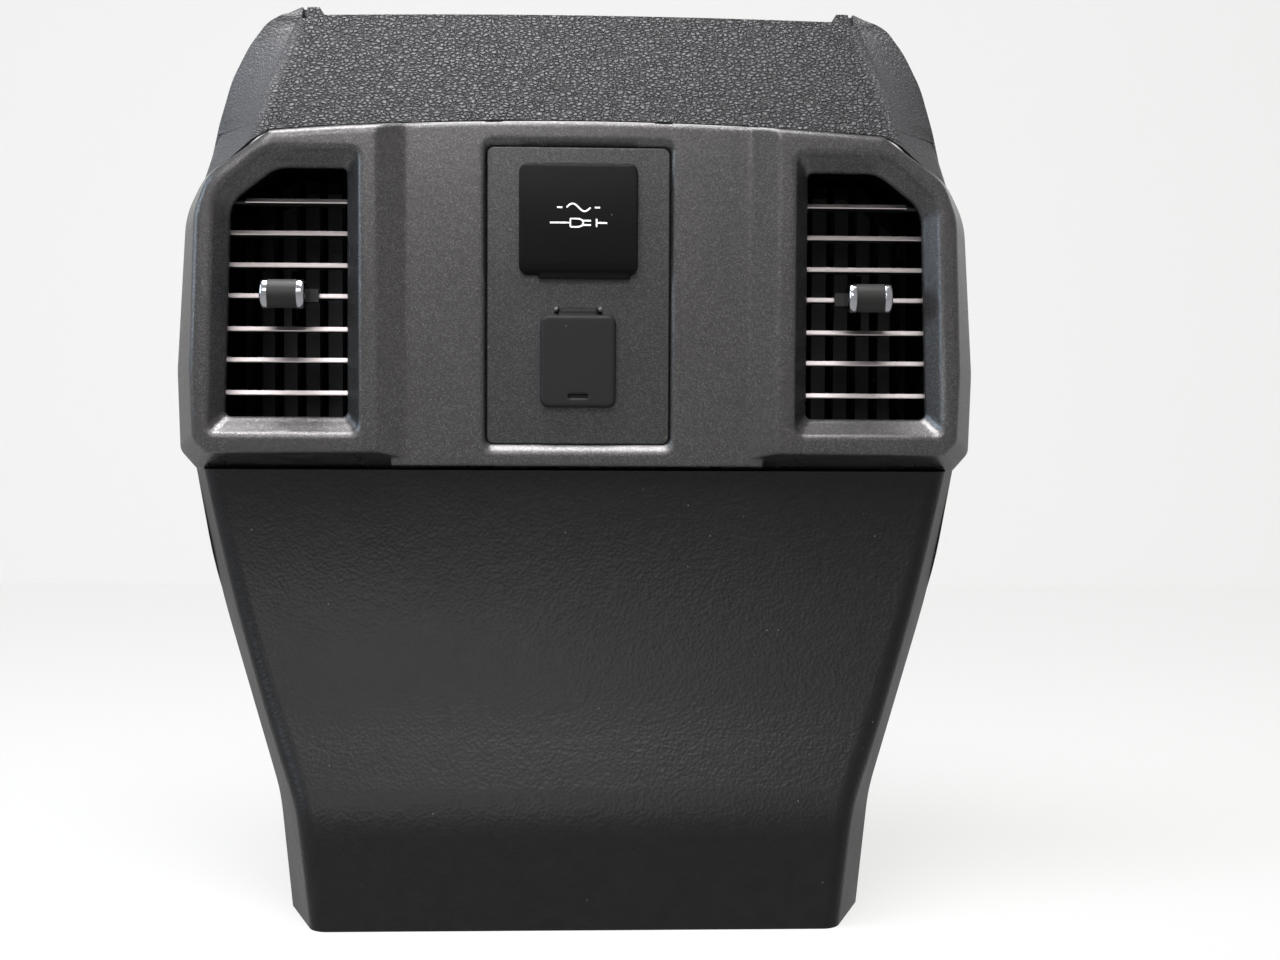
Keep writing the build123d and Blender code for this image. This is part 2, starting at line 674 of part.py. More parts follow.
# Outlet plate
with BuildPart() as outlet_plate:
    with BuildSketch(front_plane(plate_back_y)):
        with Locations((0, plate_mid_z)):
            RectangleRounded(
                2 * (plate_half_x - seat_gap), plate_height - 2 * seat_gap,
                plate_corner_r - seat_gap,
            )
    extrude(amount=plate_wall)
    chamfer(outlet_plate.edges().group_by(Axis.Y)[0], 0.5)
    with BuildSketch(front_plane(plate_back_y)):
        for x in (-1, 1):
            for z in (-1, 1):
                hook_x = x * (plate_half_x - ledge_width - seat_gap - 0.9)
                with Locations((hook_x, plate_mid_z + z * plate_height / 3)):
                    Rectangle(1.8, hook_width)
    extrude(amount=-(ledge_wall + 3.0))
    with BuildSketch(front_plane(plate_back_y + ledge_wall + seat_gap)):
        for x in (-1, 1):
            for z in (-1, 1):
                hook_x = x * (plate_half_x - ledge_width - seat_gap - 0.9 + 1.1)
                with Locations((hook_x, plate_mid_z + z * plate_height / 3)):
                    Rectangle(4.0, hook_width)
    extrude(amount=-2.4)
    with BuildSketch(Plane.YZ):
        with Locations((door_axis_y, door_axis_z)):
            Circle(door_edge_r - 0.7)
        with Locations((door_axis_y + 1.75, door_axis_z)):
            Rectangle(3.6, 2 * (door_edge_r - 0.7))
    extrude(amount=lug_out_x, both=True)
    with BuildSketch(front_plane(plate_y)):
        with Locations((0, door_axis_z)):
            Rectangle(2 * lug_in_x, 10)
    extrude(amount=12, mode=Mode.SUBTRACT)
    with BuildSketch(Plane.YZ):
        with Locations((door_axis_y, door_axis_z)):
            Circle(door_pin_r + pin_gap)
    extrude(amount=lug_out_x + 1, both=True, mode=Mode.SUBTRACT)
    with BuildSketch(Plane.YZ):
        with Locations((cap_axis_y, cap_axis_z)):
            Circle(bead_r + 0.6)
        with Locations((cap_axis_y + 0.9, cap_axis_z)):
            Rectangle(1.9, 2 * (bead_r + 0.6))
    extrude(amount=bead_half + 0.4 + bead_ear_wall, both=True)
    with BuildSketch(Plane.YZ):
        with Locations((cap_axis_y, cap_axis_z)):
            Circle(bead_r + 0.15)
        with Locations((cap_axis_y - 2, cap_axis_z)):
            Rectangle(4, 8)
    extrude(amount=bead_half + 0.4, both=True, mode=Mode.SUBTRACT)
    with BuildSketch(front_plane(plate_y)):
        with Locations((0, cap_axis_z)):
            Rectangle(2 * (bead_half + 0.4), 8)
    extrude(amount=6, mode=Mode.SUBTRACT)
    with BuildSketch(Plane.YZ):
        with Locations((cap_axis_y, cap_axis_z)):
            Circle(bead_pin_r + pin_gap)
    extrude(amount=bead_half + bead_ear_wall + 2, both=True, mode=Mode.SUBTRACT)
    with BuildSketch(front_plane(plate_y - 1)):
        with Locations((0, receptacle_z)):
            RectangleRounded(
                2 * (receptacle_half_x + seat_gap), 2 * (receptacle_half_z + seat_gap), 3
            )
        with Locations((0, socket_z)):
            Circle(socket_r + barrel_wall + seat_gap)
    extrude(amount=-(plate_wall + 2), mode=Mode.SUBTRACT)
    for x in (-1, 1):
        with BuildSketch(front_plane(plate_back_y)):
            with Locations((x * (receptacle_half_x + receptacle_flange / 2), receptacle_z)):
                Circle(screw_r)
        extrude(amount=2.2, mode=Mode.SUBTRACT)
save(outlet_plate.part, "outlet_plate")

# Outlet behind the flap
with BuildPart() as ac_receptacle:
    with BuildSketch(front_plane(receptacle_face_y)):
        with Locations((0, receptacle_z)):
            RectangleRounded(2 * receptacle_half_x, 2 * receptacle_half_z, 2.5)
    extrude(amount=-(plate_back_y - receptacle_face_y + 1))
    with BuildSketch(front_plane(plate_back_y)):
        with Locations((0, receptacle_z)):
            RectangleRounded(
                2 * (receptacle_half_x + receptacle_flange), 2 * receptacle_half_z + 6, 2.5
            )
    extrude(amount=-2.4)
    with BuildSketch(front_plane(plate_back_y)):
        with Locations((0, receptacle_z)):
            RectangleRounded(2 * receptacle_half_x - 2, 2 * receptacle_half_z - 1, 2.5)
    extrude(amount=-receptacle_depth)
    with BuildSketch(front_plane(receptacle_face_y)):
        with Locations((-6.35, receptacle_z + 3)):
            Rectangle(2.2, 8.2)
        with Locations((6.35, receptacle_z + 3)):
            Rectangle(2.0, 6.8)
        with Locations((0, receptacle_z - 8.5)):
            Circle(2.6)
    extrude(amount=-18, mode=Mode.SUBTRACT)
    for x in (-1, 1):
        with BuildSketch(front_plane(plate_back_y)):
            with Locations((x * (receptacle_half_x + receptacle_flange / 2), receptacle_z)):
                Circle(screw_r + seat_gap)
        extrude(amount=-3, mode=Mode.SUBTRACT)
save(ac_receptacle.part, "ac_receptacle")

outlet_screw_list = [
    screw(
        Plane(
            (x * (receptacle_half_x + receptacle_flange / 2), plate_back_y + 2.4, receptacle_z),
            x_dir=(1, 0, 0), z_dir=(0, 1, 0),
        ),
        4.2,
    )
    for x in (-1, 1)
]
save_group(outlet_screw_list, "outlet_screws")

# Flap over the outlet, hinged at its top
tip = radians(15)
door_back_y = plate_y - seat_gap
with BuildPart() as ac_door:
    with BuildSketch(Plane.YZ) as door_side:
        with BuildLine():
            back_top = (door_axis_y + door_edge_r, door_axis_z)
            front_top = (
                door_axis_y - door_edge_r * sin(tip), door_axis_z + door_edge_r * cos(tip)
            )
            top_45 = (
                door_axis_y + door_edge_r * cos(radians(50)),
                door_axis_z + door_edge_r * sin(radians(50)),
            )
            ThreePointArc(back_top, top_45, front_top)
            Line(front_top, (door_front_y + 1.2, front_top[1] - 0.9))
            ThreePointArc(
                (door_front_y + 1.2, front_top[1] - 0.9),
                (door_front_y, (door_low_z + door_axis_z) / 2),
                (door_front_y + 1.4, door_low_z),
            )
            Polyline((door_front_y + 1.4, door_low_z), (back_top[0], door_low_z), back_top)
        make_face()
        fillet(door_side.vertices().sort_by(Axis.Y)[0:2].sort_by(Axis.X)[0], door_heel_r)
    extrude(amount=door_half_x, both=True)
    with BuildSketch(front_plane(door_front_y - 1)):
        with Locations((0, (door_low_z + door_axis_z + door_edge_r) / 2)):
            RectangleRounded(
                2 * door_half_x, door_axis_z + door_edge_r - door_low_z, 3.6
            )
    extrude(amount=-14, mode=Mode.INTERSECT)
    with BuildSketch(front_plane(door_front_y + 3.4)):
        with Locations((0, (door_low_z + door_wall + door_axis_z - 4) / 2)):
            RectangleRounded(
                2 * (door_half_x - door_wall), door_axis_z - 4 - door_low_z - door_wall, 2.5
            )
    extrude(amount=-12, mode=Mode.SUBTRACT)
    for x in (-1, 1):
        with BuildSketch(Plane.XY.offset(door_axis_z - 5)):
            with Locations((x * (lug_in_x + lug_out_x) / 2, door_axis_y + 1.5)):
                Rectangle(lug_out_x - lug_in_x + 2 * seat_gap, 9)
        extrude(amount=10, mode=Mode.SUBTRACT)
    with BuildSketch(Plane.YZ):
        with Locations((door_axis_y, door_axis_z)):
            Circle(door_pin_r + pin_gap)
    extrude(amount=lug_out_x + 3.4, both=True, mode=Mode.SUBTRACT)
    with BuildSketch(Plane.XY.offset(door_low_z - door_lip)):
        with Locations((2.5, door_front_y + 5.2)):
            RectangleRounded(39, 2.6, 1.1)
    extrude(amount=door_lip + 1.4)
save(ac_door.part, "ac_door")

with BuildPart() as ac_door_pin:
    with BuildSketch(Plane.YZ):
        with Locations((door_axis_y, door_axis_z)):
            Circle(door_pin_r)
    extrude(amount=lug_out_x + 3.2, both=True)
save(ac_door_pin.part, "ac_door_pin")

# Round power socket
with BuildPart() as socket_barrel:
    with BuildSketch(front_plane(barrel_flange_y)):
        with Locations((0, socket_z)):
            Circle(barrel_flange_r)
    extrude(amount=-(plate_y - barrel_flange_y))
    chamfer(socket_barrel.edges().group_by(Axis.Y)[0], 0.5)
    with BuildSketch(front_plane(plate_y)):
        with Locations((0, socket_z)):
            Circle(socket_r + barrel_wall)
    extrude(amount=-(barrel_end_y - plate_y))
    with BuildSketch(front_plane(barrel_flange_y)):
        with Locations((0, socket_z)):
            Circle(socket_r)
    extrude(amount=-(socket_end_y - barrel_flange_y), mode=Mode.SUBTRACT)
    with BuildSketch(front_plane(socket_end_y)):
        with Locations((0, socket_z)):
            Circle(socket_end_r)
    extrude(amount=-(barrel_end_y - duct_wall - socket_end_y), mode=Mode.SUBTRACT)
    with BuildSketch(front_plane(barrel_end_y - 5)):
        with Locations((0, socket_z)):
            Circle(contact_r + pin_gap)
    extrude(amount=-8, mode=Mode.SUBTRACT)
save(socket_barrel.part, "socket_barrel")

with BuildPart() as socket_nut:
    with BuildSketch(front_plane(plate_back_y)):
        with Locations((0, socket_z)):
            RegularPolygon(nut_r, 12)
            Circle(socket_r + barrel_wall + pin_gap, mode=Mode.SUBTRACT)
    extrude(amount=-(nut_end_y - plate_back_y))
save(socket_nut.part, "socket_nut")

with BuildPart() as socket_contact:
    with BuildSketch(front_plane(barrel_end_y - 7)):
        with Locations((0, socket_z)):
            Circle(contact_r)
    extrude(amount=-12)
    with BuildSketch(front_plane(barrel_end_y - duct_wall - 1.2)):
        with Locations((0, socket_z)):
            Circle(2 * contact_r)
    extrude(amount=-1.2)
    fillet(socket_contact.edges().group_by(Axis.Y)[0], 1.2)
save(socket_contact.part, "socket_contact")

# Rubber cap of the round socket
with BuildPart() as power_cap:
    with BuildSketch(front_plane(door_back_y)):
        with Locations((0, (cap_low_z + cap_high_z) / 2)):
            RectangleRounded(2 * cap_half_x, cap_high_z - cap_low_z, cap_corner_r)
    extrude(amount=door_back_y - cap_front_y)
    fillet(power_cap.edges().group_by(Axis.Y)[0], 1.4)
    with BuildSketch(front_plane(barrel_flange_y - 0.7)):
        with Locations((0, socket_z)):
            Circle(barrel_flange_r + 0.6)
    extrude(amount=-4, mode=Mode.SUBTRACT)
    with BuildSketch(front_plane(barrel_flange_y - 0.9)):
        with Locations((0, socket_z)):
            Circle(socket_r + 2)
            Circle(socket_r + 0.6, mode=Mode.SUBTRACT)
    extrude(amount=-0.8)
    with BuildSketch(Plane.YZ):
        with Locations((cap_axis_y, cap_axis_z)):
            Circle(bead_r)
        with Locations((cap_axis_y - 0.5, (cap_axis_z + cap_high_z) / 2 - 0.5)):
            Rectangle(1.4, cap_axis_z - cap_high_z + 1)
    extrude(amount=bead_half - 0.2, both=True)
    with BuildSketch(Plane.YZ):
        with Locations((cap_axis_y, cap_axis_z)):
            Circle(bead_pin_r)
    extrude(amount=bead_half + bead_ear_wall, both=True)
    with BuildSketch(front_plane(cap_front_y - 1)):
        with Locations((0, cap_low_z + 4.8)):
            RectangleRounded(8.4, 1.8, 0.8)
    extrude(amount=-2.4, mode=Mode.SUBTRACT)
save(power_cap.part, "power_cap")

# Vent housings
housing_outer = housing_prism(duct_wall, vent_seat_y, duct_front_y)
housing_inner = housing_prism(0, vent_seat_y - 1, duct_front_y + 1)


def corner_z(x):
    """Height of the housing's slanted inside corner at a distance from the middle."""
    slope = (housing_high_z - housing_corner_z) / (housing_out_x - housing_corner_x)
    return min(housing_high_z, housing_high_z - slope * (x - housing_corner_x))


with BuildPart() as vent_housing:
    add(housing_outer)
    for ear_z in (ear_z_low, ear_z_high):
        for ear_y, ear_wall in ((vent_seat_y, 2.4), (duct_front_y - 2.4, 2.4)):
            with BuildSketch(front_plane(ear_y)):
                with Locations((vent_centre_x, ear_z)):
                    Rectangle(ear_width, ear_height)
            extrude(amount=-ear_wall)
    add(housing_inner, mode=Mode.SUBTRACT)
    with BuildSketch(front_plane(vent_seat_y - 1)):
        with Locations((vent_centre_x, ear_z_low), (vent_centre_x, ear_z_high)):
            Circle(screw_r + seat_gap)
    extrude(amount=-5, mode=Mode.SUBTRACT)
    with BuildSketch(front_plane(duct_front_y - 4)):
        with Locations((vent_centre_x, ear_z_low), (vent_centre_x, ear_z_high)):
            Circle(screw_r)
    extrude(amount=-6, mode=Mode.SUBTRACT)
    with BuildSketch(Plane.YZ.offset(housing_in_x - 4)):
        with Locations(*[(blade_pivot_y, z) for z in blade_z]):
            Circle(pivot_r + pin_gap)
    extrude(amount=housing_out_x - housing_in_x + 10, mode=Mode.SUBTRACT)
    vane_x = [vent_centre_x + vane_pitch * (i - vane_count // 2) for i in range(vane_count)]
    with BuildSketch(Plane.XY.offset(housing_low_z - 4)):
        with Locations(*[(x, vane_pivot_y) for x in vane_x]):
            Circle(pivot_r + pin_gap)
    extrude(amount=housing_high_z - housing_low_z + 8, mode=Mode.SUBTRACT)
right_housing = vent_housing.part


def make_blade(index):
    """One level blade with its two pivots and the crank pin for the link."""
    z = blade_z[index]
    end_x = top_blade_end_x if index == len(blade_z) - 1 else housing_out_x - seat_gap
    start_x = housing_in_x + seat_gap
    notch_x = start_x + link_wall + seat_gap
    front_y = blade_pivot_y - blade_chord / 2
    wall_x = housing_out_x
    if z > housing_corner_z:
        wall_x = housing_out_x - (z - housing_corner_z) * (
            (housing_out_x - housing_corner_x) / (housing_high_z - housing_corner_z)
        )
    with BuildPart() as blade:
        with BuildSketch(Plane.YZ.offset(start_x)):
            with BuildLine():
                low_z, high_z = z - blade_wall / 2, z + blade_wall / 2
                tail_y = front_y + blade_chord - blade_wall / 2
                Polyline(
                    (tail_y, low_z), (front_y, low_z), (front_y, low_z + blade_lip),
                    (front_y + blade_nose, high_z), (tail_y, high_z),
                )
                ThreePointArc((tail_y, high_z), (tail_y + blade_wall / 2, z), (tail_y, low_z))
            make_face()
        extrude(amount=end_x - start_x)
        crank_y = blade_pivot_y + crank_reach
        with BuildSketch(Plane.XY.offset(z - blade_wall)):
            with Locations((start_x - 1, crank_y - link_width / 2 - 0.8)):
                Rectangle(notch_x - start_x + 1, blade_chord, align=(Align.MIN, Align.MIN))
        extrude(amount=2 * blade_wall, mode=Mode.SUBTRACT)
        with BuildSketch(Plane.YZ.offset(housing_in_x - duct_wall)):
            with Locations((blade_pivot_y, z)):
                Circle(pivot_r)
        extrude(amount=duct_wall + 2 * seat_gap)
        with BuildSketch(Plane.YZ.offset(end_x - 0.5)):
            with Locations((blade_pivot_y, z)):
                Circle(pivot_r)
        extrude(amount=wall_x + duct_wall - end_x + 0.5)
        with BuildSketch(Plane.YZ.offset(start_x - 0.1)):
            with Locations((crank_y, z)):
                Circle(crank_r)
        extrude(amount=notch_x - start_x + 0.6)
    return blade.part


def make_blade_link():
    """Upright bar on the crank pins of all the blades."""
    low = blade_z[0] - link_width / 2
    high = blade_z[-1] + link_width / 2
    with BuildPart() as link:
        with BuildSketch(Plane.YZ.offset(housing_in_x + seat_gap)):
            with Locations((blade_pivot_y + crank_reach, (low + high) / 2)):
                SlotOverall(high - low, link_width, rotation=90)
            with Locations(*[(blade_pivot_y + crank_reach, z) for z in blade_z]):
                Circle(crank_r + pin_gap, mode=Mode.SUBTRACT)
        extrude(amount=link_wall)
    return link.part


vane_low_z = housing_low_z + seat_gap
vane_notch_z = vane_low_z + link_wall + seat_gap
knob_z = blade_z[knob_blade]


def make_vane(index):
    """One upright vane with its two pivots and crank pin; the middle one has the knob's post."""
    x = vane_x[index]
    swing = blade_chord / 2 * sin(radians(32)) + vane_wall
    top = corner_z(x + swing) - 2 * seat_gap
    crank_y = vane_pivot_y + crank_reach
    with BuildPart() as vane:
        with BuildSketch(Plane.XY.offset(vane_low_z)):
            with Locations((x, vane_pivot_y)):
                SlotOverall(blade_chord, vane_wall, rotation=90)
        extrude(amount=top - vane_low_z)
        with BuildSketch(Plane.XY.offset(vane_low_z - 1)):
            with Locations((x, crank_y - link_width / 2 - 0.8)):
                Rectangle(2 * vane_wall, blade_chord, align=(Align.CENTER, Align.MIN))
        extrude(amount=vane_notch_z - vane_low_z + 1, mode=Mode.SUBTRACT)
        with BuildSketch(Plane.XY.offset(housing_low_z - duct_wall)):
            with Locations((x, vane_pivot_y)):
                Circle(pivot_r)
        extrude(amount=duct_wall + 2 * seat_gap)
        with BuildSketch(Plane.XY.offset(top - 0.5)):
            with Locations((x, vane_pivot_y)):
                Circle(pivot_r)
        extrude(amount=corner_z(x) + duct_wall - top + 0.5)
        with BuildSketch(Plane.XY.offset(vane_low_z + 0.1)):
            with Locations((x, crank_y)):
                Circle(crank_r)
        extrude(amount=vane_notch_z - vane_low_z + 0.6)
        if index == vane_count // 2:
            post_y = vane_pivot_y - post_reach
            for side in (-1, 1):
                with BuildSketch(Plane.XY.offset(knob_z + side * (arm_low + arm_high) / 2)):
                    with Locations((x, (post_y + vane_pivot_y) / 2)):
                        SlotOverall(post_reach + 2 * post_r, 2 * post_r, rotation=90)
                extrude(amount=(arm_high - arm_low) / 2, both=True)
            with BuildSketch(Plane.XY.offset(knob_z - arm_low)):
                with Locations((x, post_y)):
                    Circle(post_r)
            extrude(amount=2 * arm_low)
    return vane.part


def make_vane_link():
    """Level bar on the crank pins of all the vanes."""
    crank_y = vane_pivot_y + crank_reach
    with BuildPart() as link:
        with BuildSketch(Plane.XY.offset(vane_low_z)):
            with Locations((vent_centre_x, crank_y)):
                SlotOverall(vane_pitch * (vane_count - 1) + link_width, link_width)
            with Locations(*[(x, crank_y) for x in vane_x]):
                Circle(crank_r + pin_gap, mode=Mode.SUBTRACT)
        extrude(amount=link_wall)
    return link.part


def knob_profile(x, grow):
    """Side outline of the knob's finger grip at a place across the vent, grown all round."""
    root = knob_height / 2 - 2 + grow
    front = knob_height / 2 + grow
    with BuildSketch(Plane.YZ.offset(x)) as profile:
        with BuildLine():
            ThreePointArc(
                (knob_front_y + 3, knob_z + front), (knob_front_y - grow, knob_z),
                (knob_front_y + 3, knob_z - front),
            )
            Polyline(
                (knob_front_y + 3, knob_z - front), (knob_front_y + 7, knob_z - front + 0.6),
                (knob_root_y, knob_z - root), (knob_root_y, knob_z + root),
                (knob_front_y + 7, knob_z + front - 0.6), (knob_front_y + 3, knob_z + front),
            )
        make_face()
    return profile.sketch


def make_knob_grip():
    """Finger grip that slides on the middle blade, with the fork that turns the vanes."""
    centre = vent_centre_x
    grip_half = knob_width / 2 - knob_trim_width
    slot_half = blade_wall / 2 + seat_gap
    front_y = blade_pivot_y - blade_chord / 2 - seat_gap
    rear_y = blade_pivot_y + blade_chord / 2 + seat_gap
    web_y = vane_pivot_y - post_reach - post_r - 2 * seat_gap
    with BuildPart() as knob:
        extrude(knob_profile(centre - grip_half, 0), amount=2 * grip_half)
        with BuildSketch(Plane.YZ.offset(centre)):
            with Locations((knob_root_y - 1, knob_z)):
                Rectangle(
                    web_y - knob_root_y + 1, 2 * (slot_half + jaw_wall),
                    align=(Align.MIN, Align.CENTER),
                )
        extrude(amount=jaw_half_width, both=True)
        with BuildSketch(Plane.YZ.offset(centre - knob_width / 2 - sleeve_length)):
            with Locations((sleeve_front_y, knob_z)):
                Rectangle(7, 2 * (slot_half + jaw_wall), align=(Align.MIN, Align.CENTER))
        extrude(amount=sleeve_length + knob_width / 2)
        with BuildSketch(Plane.YZ.offset(centre - knob_width / 2 - sleeve_length - 1)):
            with Locations((front_y, knob_z)):
                Rectangle(rear_y - front_y, 2 * slot_half, align=(Align.MIN, Align.CENTER))
        extrude(amount=knob_width + sleeve_length + 2, mode=Mode.SUBTRACT)
        for side in (-1, 1):
            prong_x = centre + side * (post_r + post_gap + jaw_wall / 2)
            with BuildSketch(Plane.XY.offset(knob_z)):
                with Locations((prong_x, web_y - 0.3)):
                    Rectangle(
                        jaw_wall, blade_pivot_y + fork_reach - web_y + 0.3,
                        align=(Align.CENTER, Align.MIN),
                    )
            extrude(amount=jaw_wall, both=True)
    return knob.part


def make_knob_trim():
    """Two bright end pieces of the finger grip."""
    solids = []
    for side in (-1, 1):
        inner_x = vent_centre_x + side * (knob_width / 2 - knob_trim_width)
        with BuildPart() as cap:
            extrude(knob_profile(inner_x, 0.3), amount=side * knob_trim_width)
            outer = cap.faces().sort_by(Axis.X)[-1 if side > 0 else 0]
            fillet(outer.edges(), 1.8)
            with BuildSketch(Plane.YZ.offset(inner_x)):
                with Locations((sleeve_front_y, knob_z)):
                    Rectangle(4, knob_height, align=(Align.MIN, Align.CENTER))
            extrude(amount=side * knob_trim_width, mode=Mode.SUBTRACT)
        solids.append(cap.part)
    return solids


def save_both(part, name):
    """Write a right-hand vent piece and its mirror image for the left vent."""
    save(mirror(part, about=Plane.YZ), f"left_{name}")
    save(part, f"right_{name}")


save_both(right_housing, "vent_housing")
for blade_index in range(len(blade_z)):
    save_both(make_blade(blade_index), f"blade_{blade_index + 1}")
save_both(make_blade_link(), "blade_link")
for vane_index in range(vane_count):
    save_both(make_vane(vane_index), f"vane_{vane_index + 1}")
save_both(make_vane_link(), "vane_link")
save_both(make_knob_grip(), "knob_grip")
trim_solids = make_knob_trim()
save_group([mirror(solid, about=Plane.YZ) for solid in trim_solids], "left_knob_trim")
save_group(trim_solids, "right_knob_trim")

# Air duct
duct_right = [
    (housing_in_x - duct_wall, housing_high_z + duct_wall),
    (housing_corner_x + 1, housing_high_z + duct_wall),
    (housing_out_x + duct_wall, housing_corner_z + 1),
    (housing_out_x + duct_wall, housing_low_z - duct_wall),
    (collar_half_x + duct_wall, 95.0),
]
duct_throat = [(0, 142.0), (housing_in_x - duct_wall, 236.0)]
with BuildPart() as air_duct:
    with BuildSketch(front_plane(duct_front_y)) as duct_face:
        with BuildLine():
            left_side = [(-x, z) for x, z in reversed(duct_right)]
            Polyline(
                *duct_right, *left_side, (-duct_throat[1][0], duct_throat[1][1]),
                duct_throat[0], duct_throat[1], close=True,
            )
        make_face()
    extrude(amount=-(duct_back_y - duct_front_y))
    with BuildSketch(front_plane(duct_front_y + duct_wall)):
        add(duct_face.sketch)
        offset(amount=-duct_wall, kind=Kind.INTERSECTION)
    extrude(amount=-(duct_back_y - duct_front_y - 2 * duct_wall), mode=Mode.SUBTRACT)
    for side in (-1, 1):
        with BuildSketch(front_plane(duct_front_y - 1)):
            with BuildLine():
                Polyline(*[(side * x, z) for x, z in housing_outline()], close=True)
            make_face()
        extrude(amount=-(duct_wall + 2), mode=Mode.SUBTRACT)
        for ear_z in (ear_z_low, ear_z_high):
            with BuildSketch(front_plane(duct_front_y)):
                with Locations((side * vent_centre_x, ear_z)):
                    Rectangle(ear_width, ear_height)
            extrude(amount=-2.4)
        with BuildSketch(front_plane(duct_front_y - 1)):
            with Locations(*[(side * vent_centre_x, z) for z in (ear_z_low, ear_z_high)]):
                Circle(screw_r + seat_gap)
        extrude(amount=-4, mode=Mode.SUBTRACT)
    collar_mid_z = (collar_low_z + collar_high_z) / 2
    with BuildSketch(front_plane(duct_back_y - duct_wall)):
        with Locations((0, collar_mid_z)):
            RectangleRounded(2 * collar_half_x, collar_high_z - collar_low_z, 8)
    extrude(amount=-(collar_back_y - duct_back_y + duct_wall))
    with BuildSketch(front_plane(duct_back_y - 2 * duct_wall)):
        with Locations((0, collar_mid_z)):
            RectangleRounded(
                2 * (collar_half_x - duct_wall), collar_high_z - collar_low_z - 2 * duct_wall, 6
            )
    extrude(amount=-(collar_back_y - duct_back_y + 3 * duct_wall), mode=Mode.SUBTRACT)
save(air_duct.part, "air_duct")

with BuildPart() as duct_seal:
    with BuildSketch(front_plane(duct_back_y)):
        with Locations((0, collar_mid_z)):
            RectangleRounded(2 * collar_half_x + 8, collar_high_z - collar_low_z + 8, 11)
            RectangleRounded(
                2 * (collar_half_x + part_line),
                collar_high_z - collar_low_z + 2 * part_line,
                8 + part_line,
                mode=Mode.SUBTRACT,
            )
    extrude(amount=-6)
save(duct_seal.part, "duct_seal")

# Screws
back_face = {"x_dir": (1, 0, 0), "z_dir": (0, 1, 0)}
down_face = {"x_dir": (1, 0, 0), "z_dir": (0, 0, -1)}
vent_spots = [(s * vent_centre_x, z) for s in (-1, 1) for z in (ear_z_low, ear_z_high)]
vent_screws = [
    screw(Plane((x, vent_seat_y + 2.4, z), **back_face), 7.0) for x, z in vent_spots
]
save_group(vent_screws, "vent_screws")
duct_screws = [
    screw(Plane((x, duct_front_y + 2.4, z), **back_face), 4.6) for x, z in vent_spots
]
save_group(duct_screws, "duct_screws")
bezel_screws = [
    screw(Plane((s * frame_screw_x, tab_y + tab_wall, z), **back_face), 11.0)
    for s in (-1, 1) for z in frame_screw_z
]
save_group(bezel_screws, "bezel_screws")
panel_screws = [
    screw(Plane((x, foot_y, panel_top_z - wall), **down_face), 2 * wall + 2.0) for x in foot_x
]
save_group(panel_screws, "panel_screws")
cover_screws = [
    screw(
        Plane((x, cover_boss_y, arch_z(abs(x)) - 2 * wall - part_line - 0.3), **down_face), 20.0
    )
    for x in cover_boss_x
]
save_group(cover_screws, "cover_screws")
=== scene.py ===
"""Render scene of a car centre console's rear end panel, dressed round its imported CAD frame."""

import json
import logging
import math
from dataclasses import dataclass, field
from enum import Enum

import bpy
from mathutils import Matrix, Vector
from mathutils.bvhtree import BVHTree


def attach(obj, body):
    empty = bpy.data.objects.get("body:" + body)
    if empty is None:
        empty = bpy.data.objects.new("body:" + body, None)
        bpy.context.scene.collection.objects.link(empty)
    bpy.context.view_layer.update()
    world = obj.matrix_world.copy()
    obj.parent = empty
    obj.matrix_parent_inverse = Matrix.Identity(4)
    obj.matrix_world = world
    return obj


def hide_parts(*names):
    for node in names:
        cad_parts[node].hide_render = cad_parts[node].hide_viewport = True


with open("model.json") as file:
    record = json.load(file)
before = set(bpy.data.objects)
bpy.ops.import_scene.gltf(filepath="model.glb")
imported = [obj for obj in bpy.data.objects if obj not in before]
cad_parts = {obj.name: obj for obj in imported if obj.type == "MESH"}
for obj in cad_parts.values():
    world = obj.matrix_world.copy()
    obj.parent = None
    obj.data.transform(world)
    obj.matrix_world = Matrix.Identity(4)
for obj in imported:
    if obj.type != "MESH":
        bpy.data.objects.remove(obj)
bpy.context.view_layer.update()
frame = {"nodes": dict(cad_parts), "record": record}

LOG = logging.getLogger("console_panel")
MM = 0.001

# The crease between the cover's front and its wings: half width at a height, and how it leans
WING_X, WING_Z, WING_LEAN = 127 * MM, 340 * MM, 0.3

# The grain fades to this share of its height over this distance past the crease
WING_FADE, WING_RELIEF = 9 * MM, 0.25

# Where the band of painted highlight along the blades' front edge ends
NOSE_BACK_Y = -18.3 * MM

Colour = tuple[float, float, float]
Point = tuple[float, float, float]


class Side(Enum):
    """The two sides of the panel, and the sign of X on each."""

    LEFT = -1
    RIGHT = 1

    @property
    def prefix(self) -> str:
        """Start of the names of the CAD nodes on this side."""
        return self.name.lower()


class Pattern(Enum):
    """Surface structures that a moulded finish can carry."""

    LEATHER = "leather_grain"
    FINE = "fine_grain"
    FLAKE = "paint_flake"
    SATIN = "moulding_skin"
    NOSE = "nose_highlight"


# ---------------------------------------------------------------- shader groups

# Leather grain: cells per metre of each layer, and how much of it goes into the height
WARP_SCALE, WARP_PULL = 380.0, (0.003, 0.0018, 0.0018)
PEBBLE_SQUASH = (0.62, 1.0, 1.0)
CREASE_WIDTH = 0.2
SWELL_SCALE, SWELL_SHARE = 300.0, 0.6
PORE_SCALE, PORE_SHARE = 2600.0, 0.15

# Fine grain: softness of its cells, and the slow folds across them
CELL_SOFTNESS = 0.6
FOLD_SCALE, FOLD_SHARE = 210.0, 0.9

# Paint flake: orange peel, tilt of the flakes, and how few of them shine
PEEL_SCALE = 900.0
FLAKE_TILT, FLAKE_RARITY = 0.5, 3.0

# Plain mouldings: slow mottle
MOTTLE_SCALE = 35.0

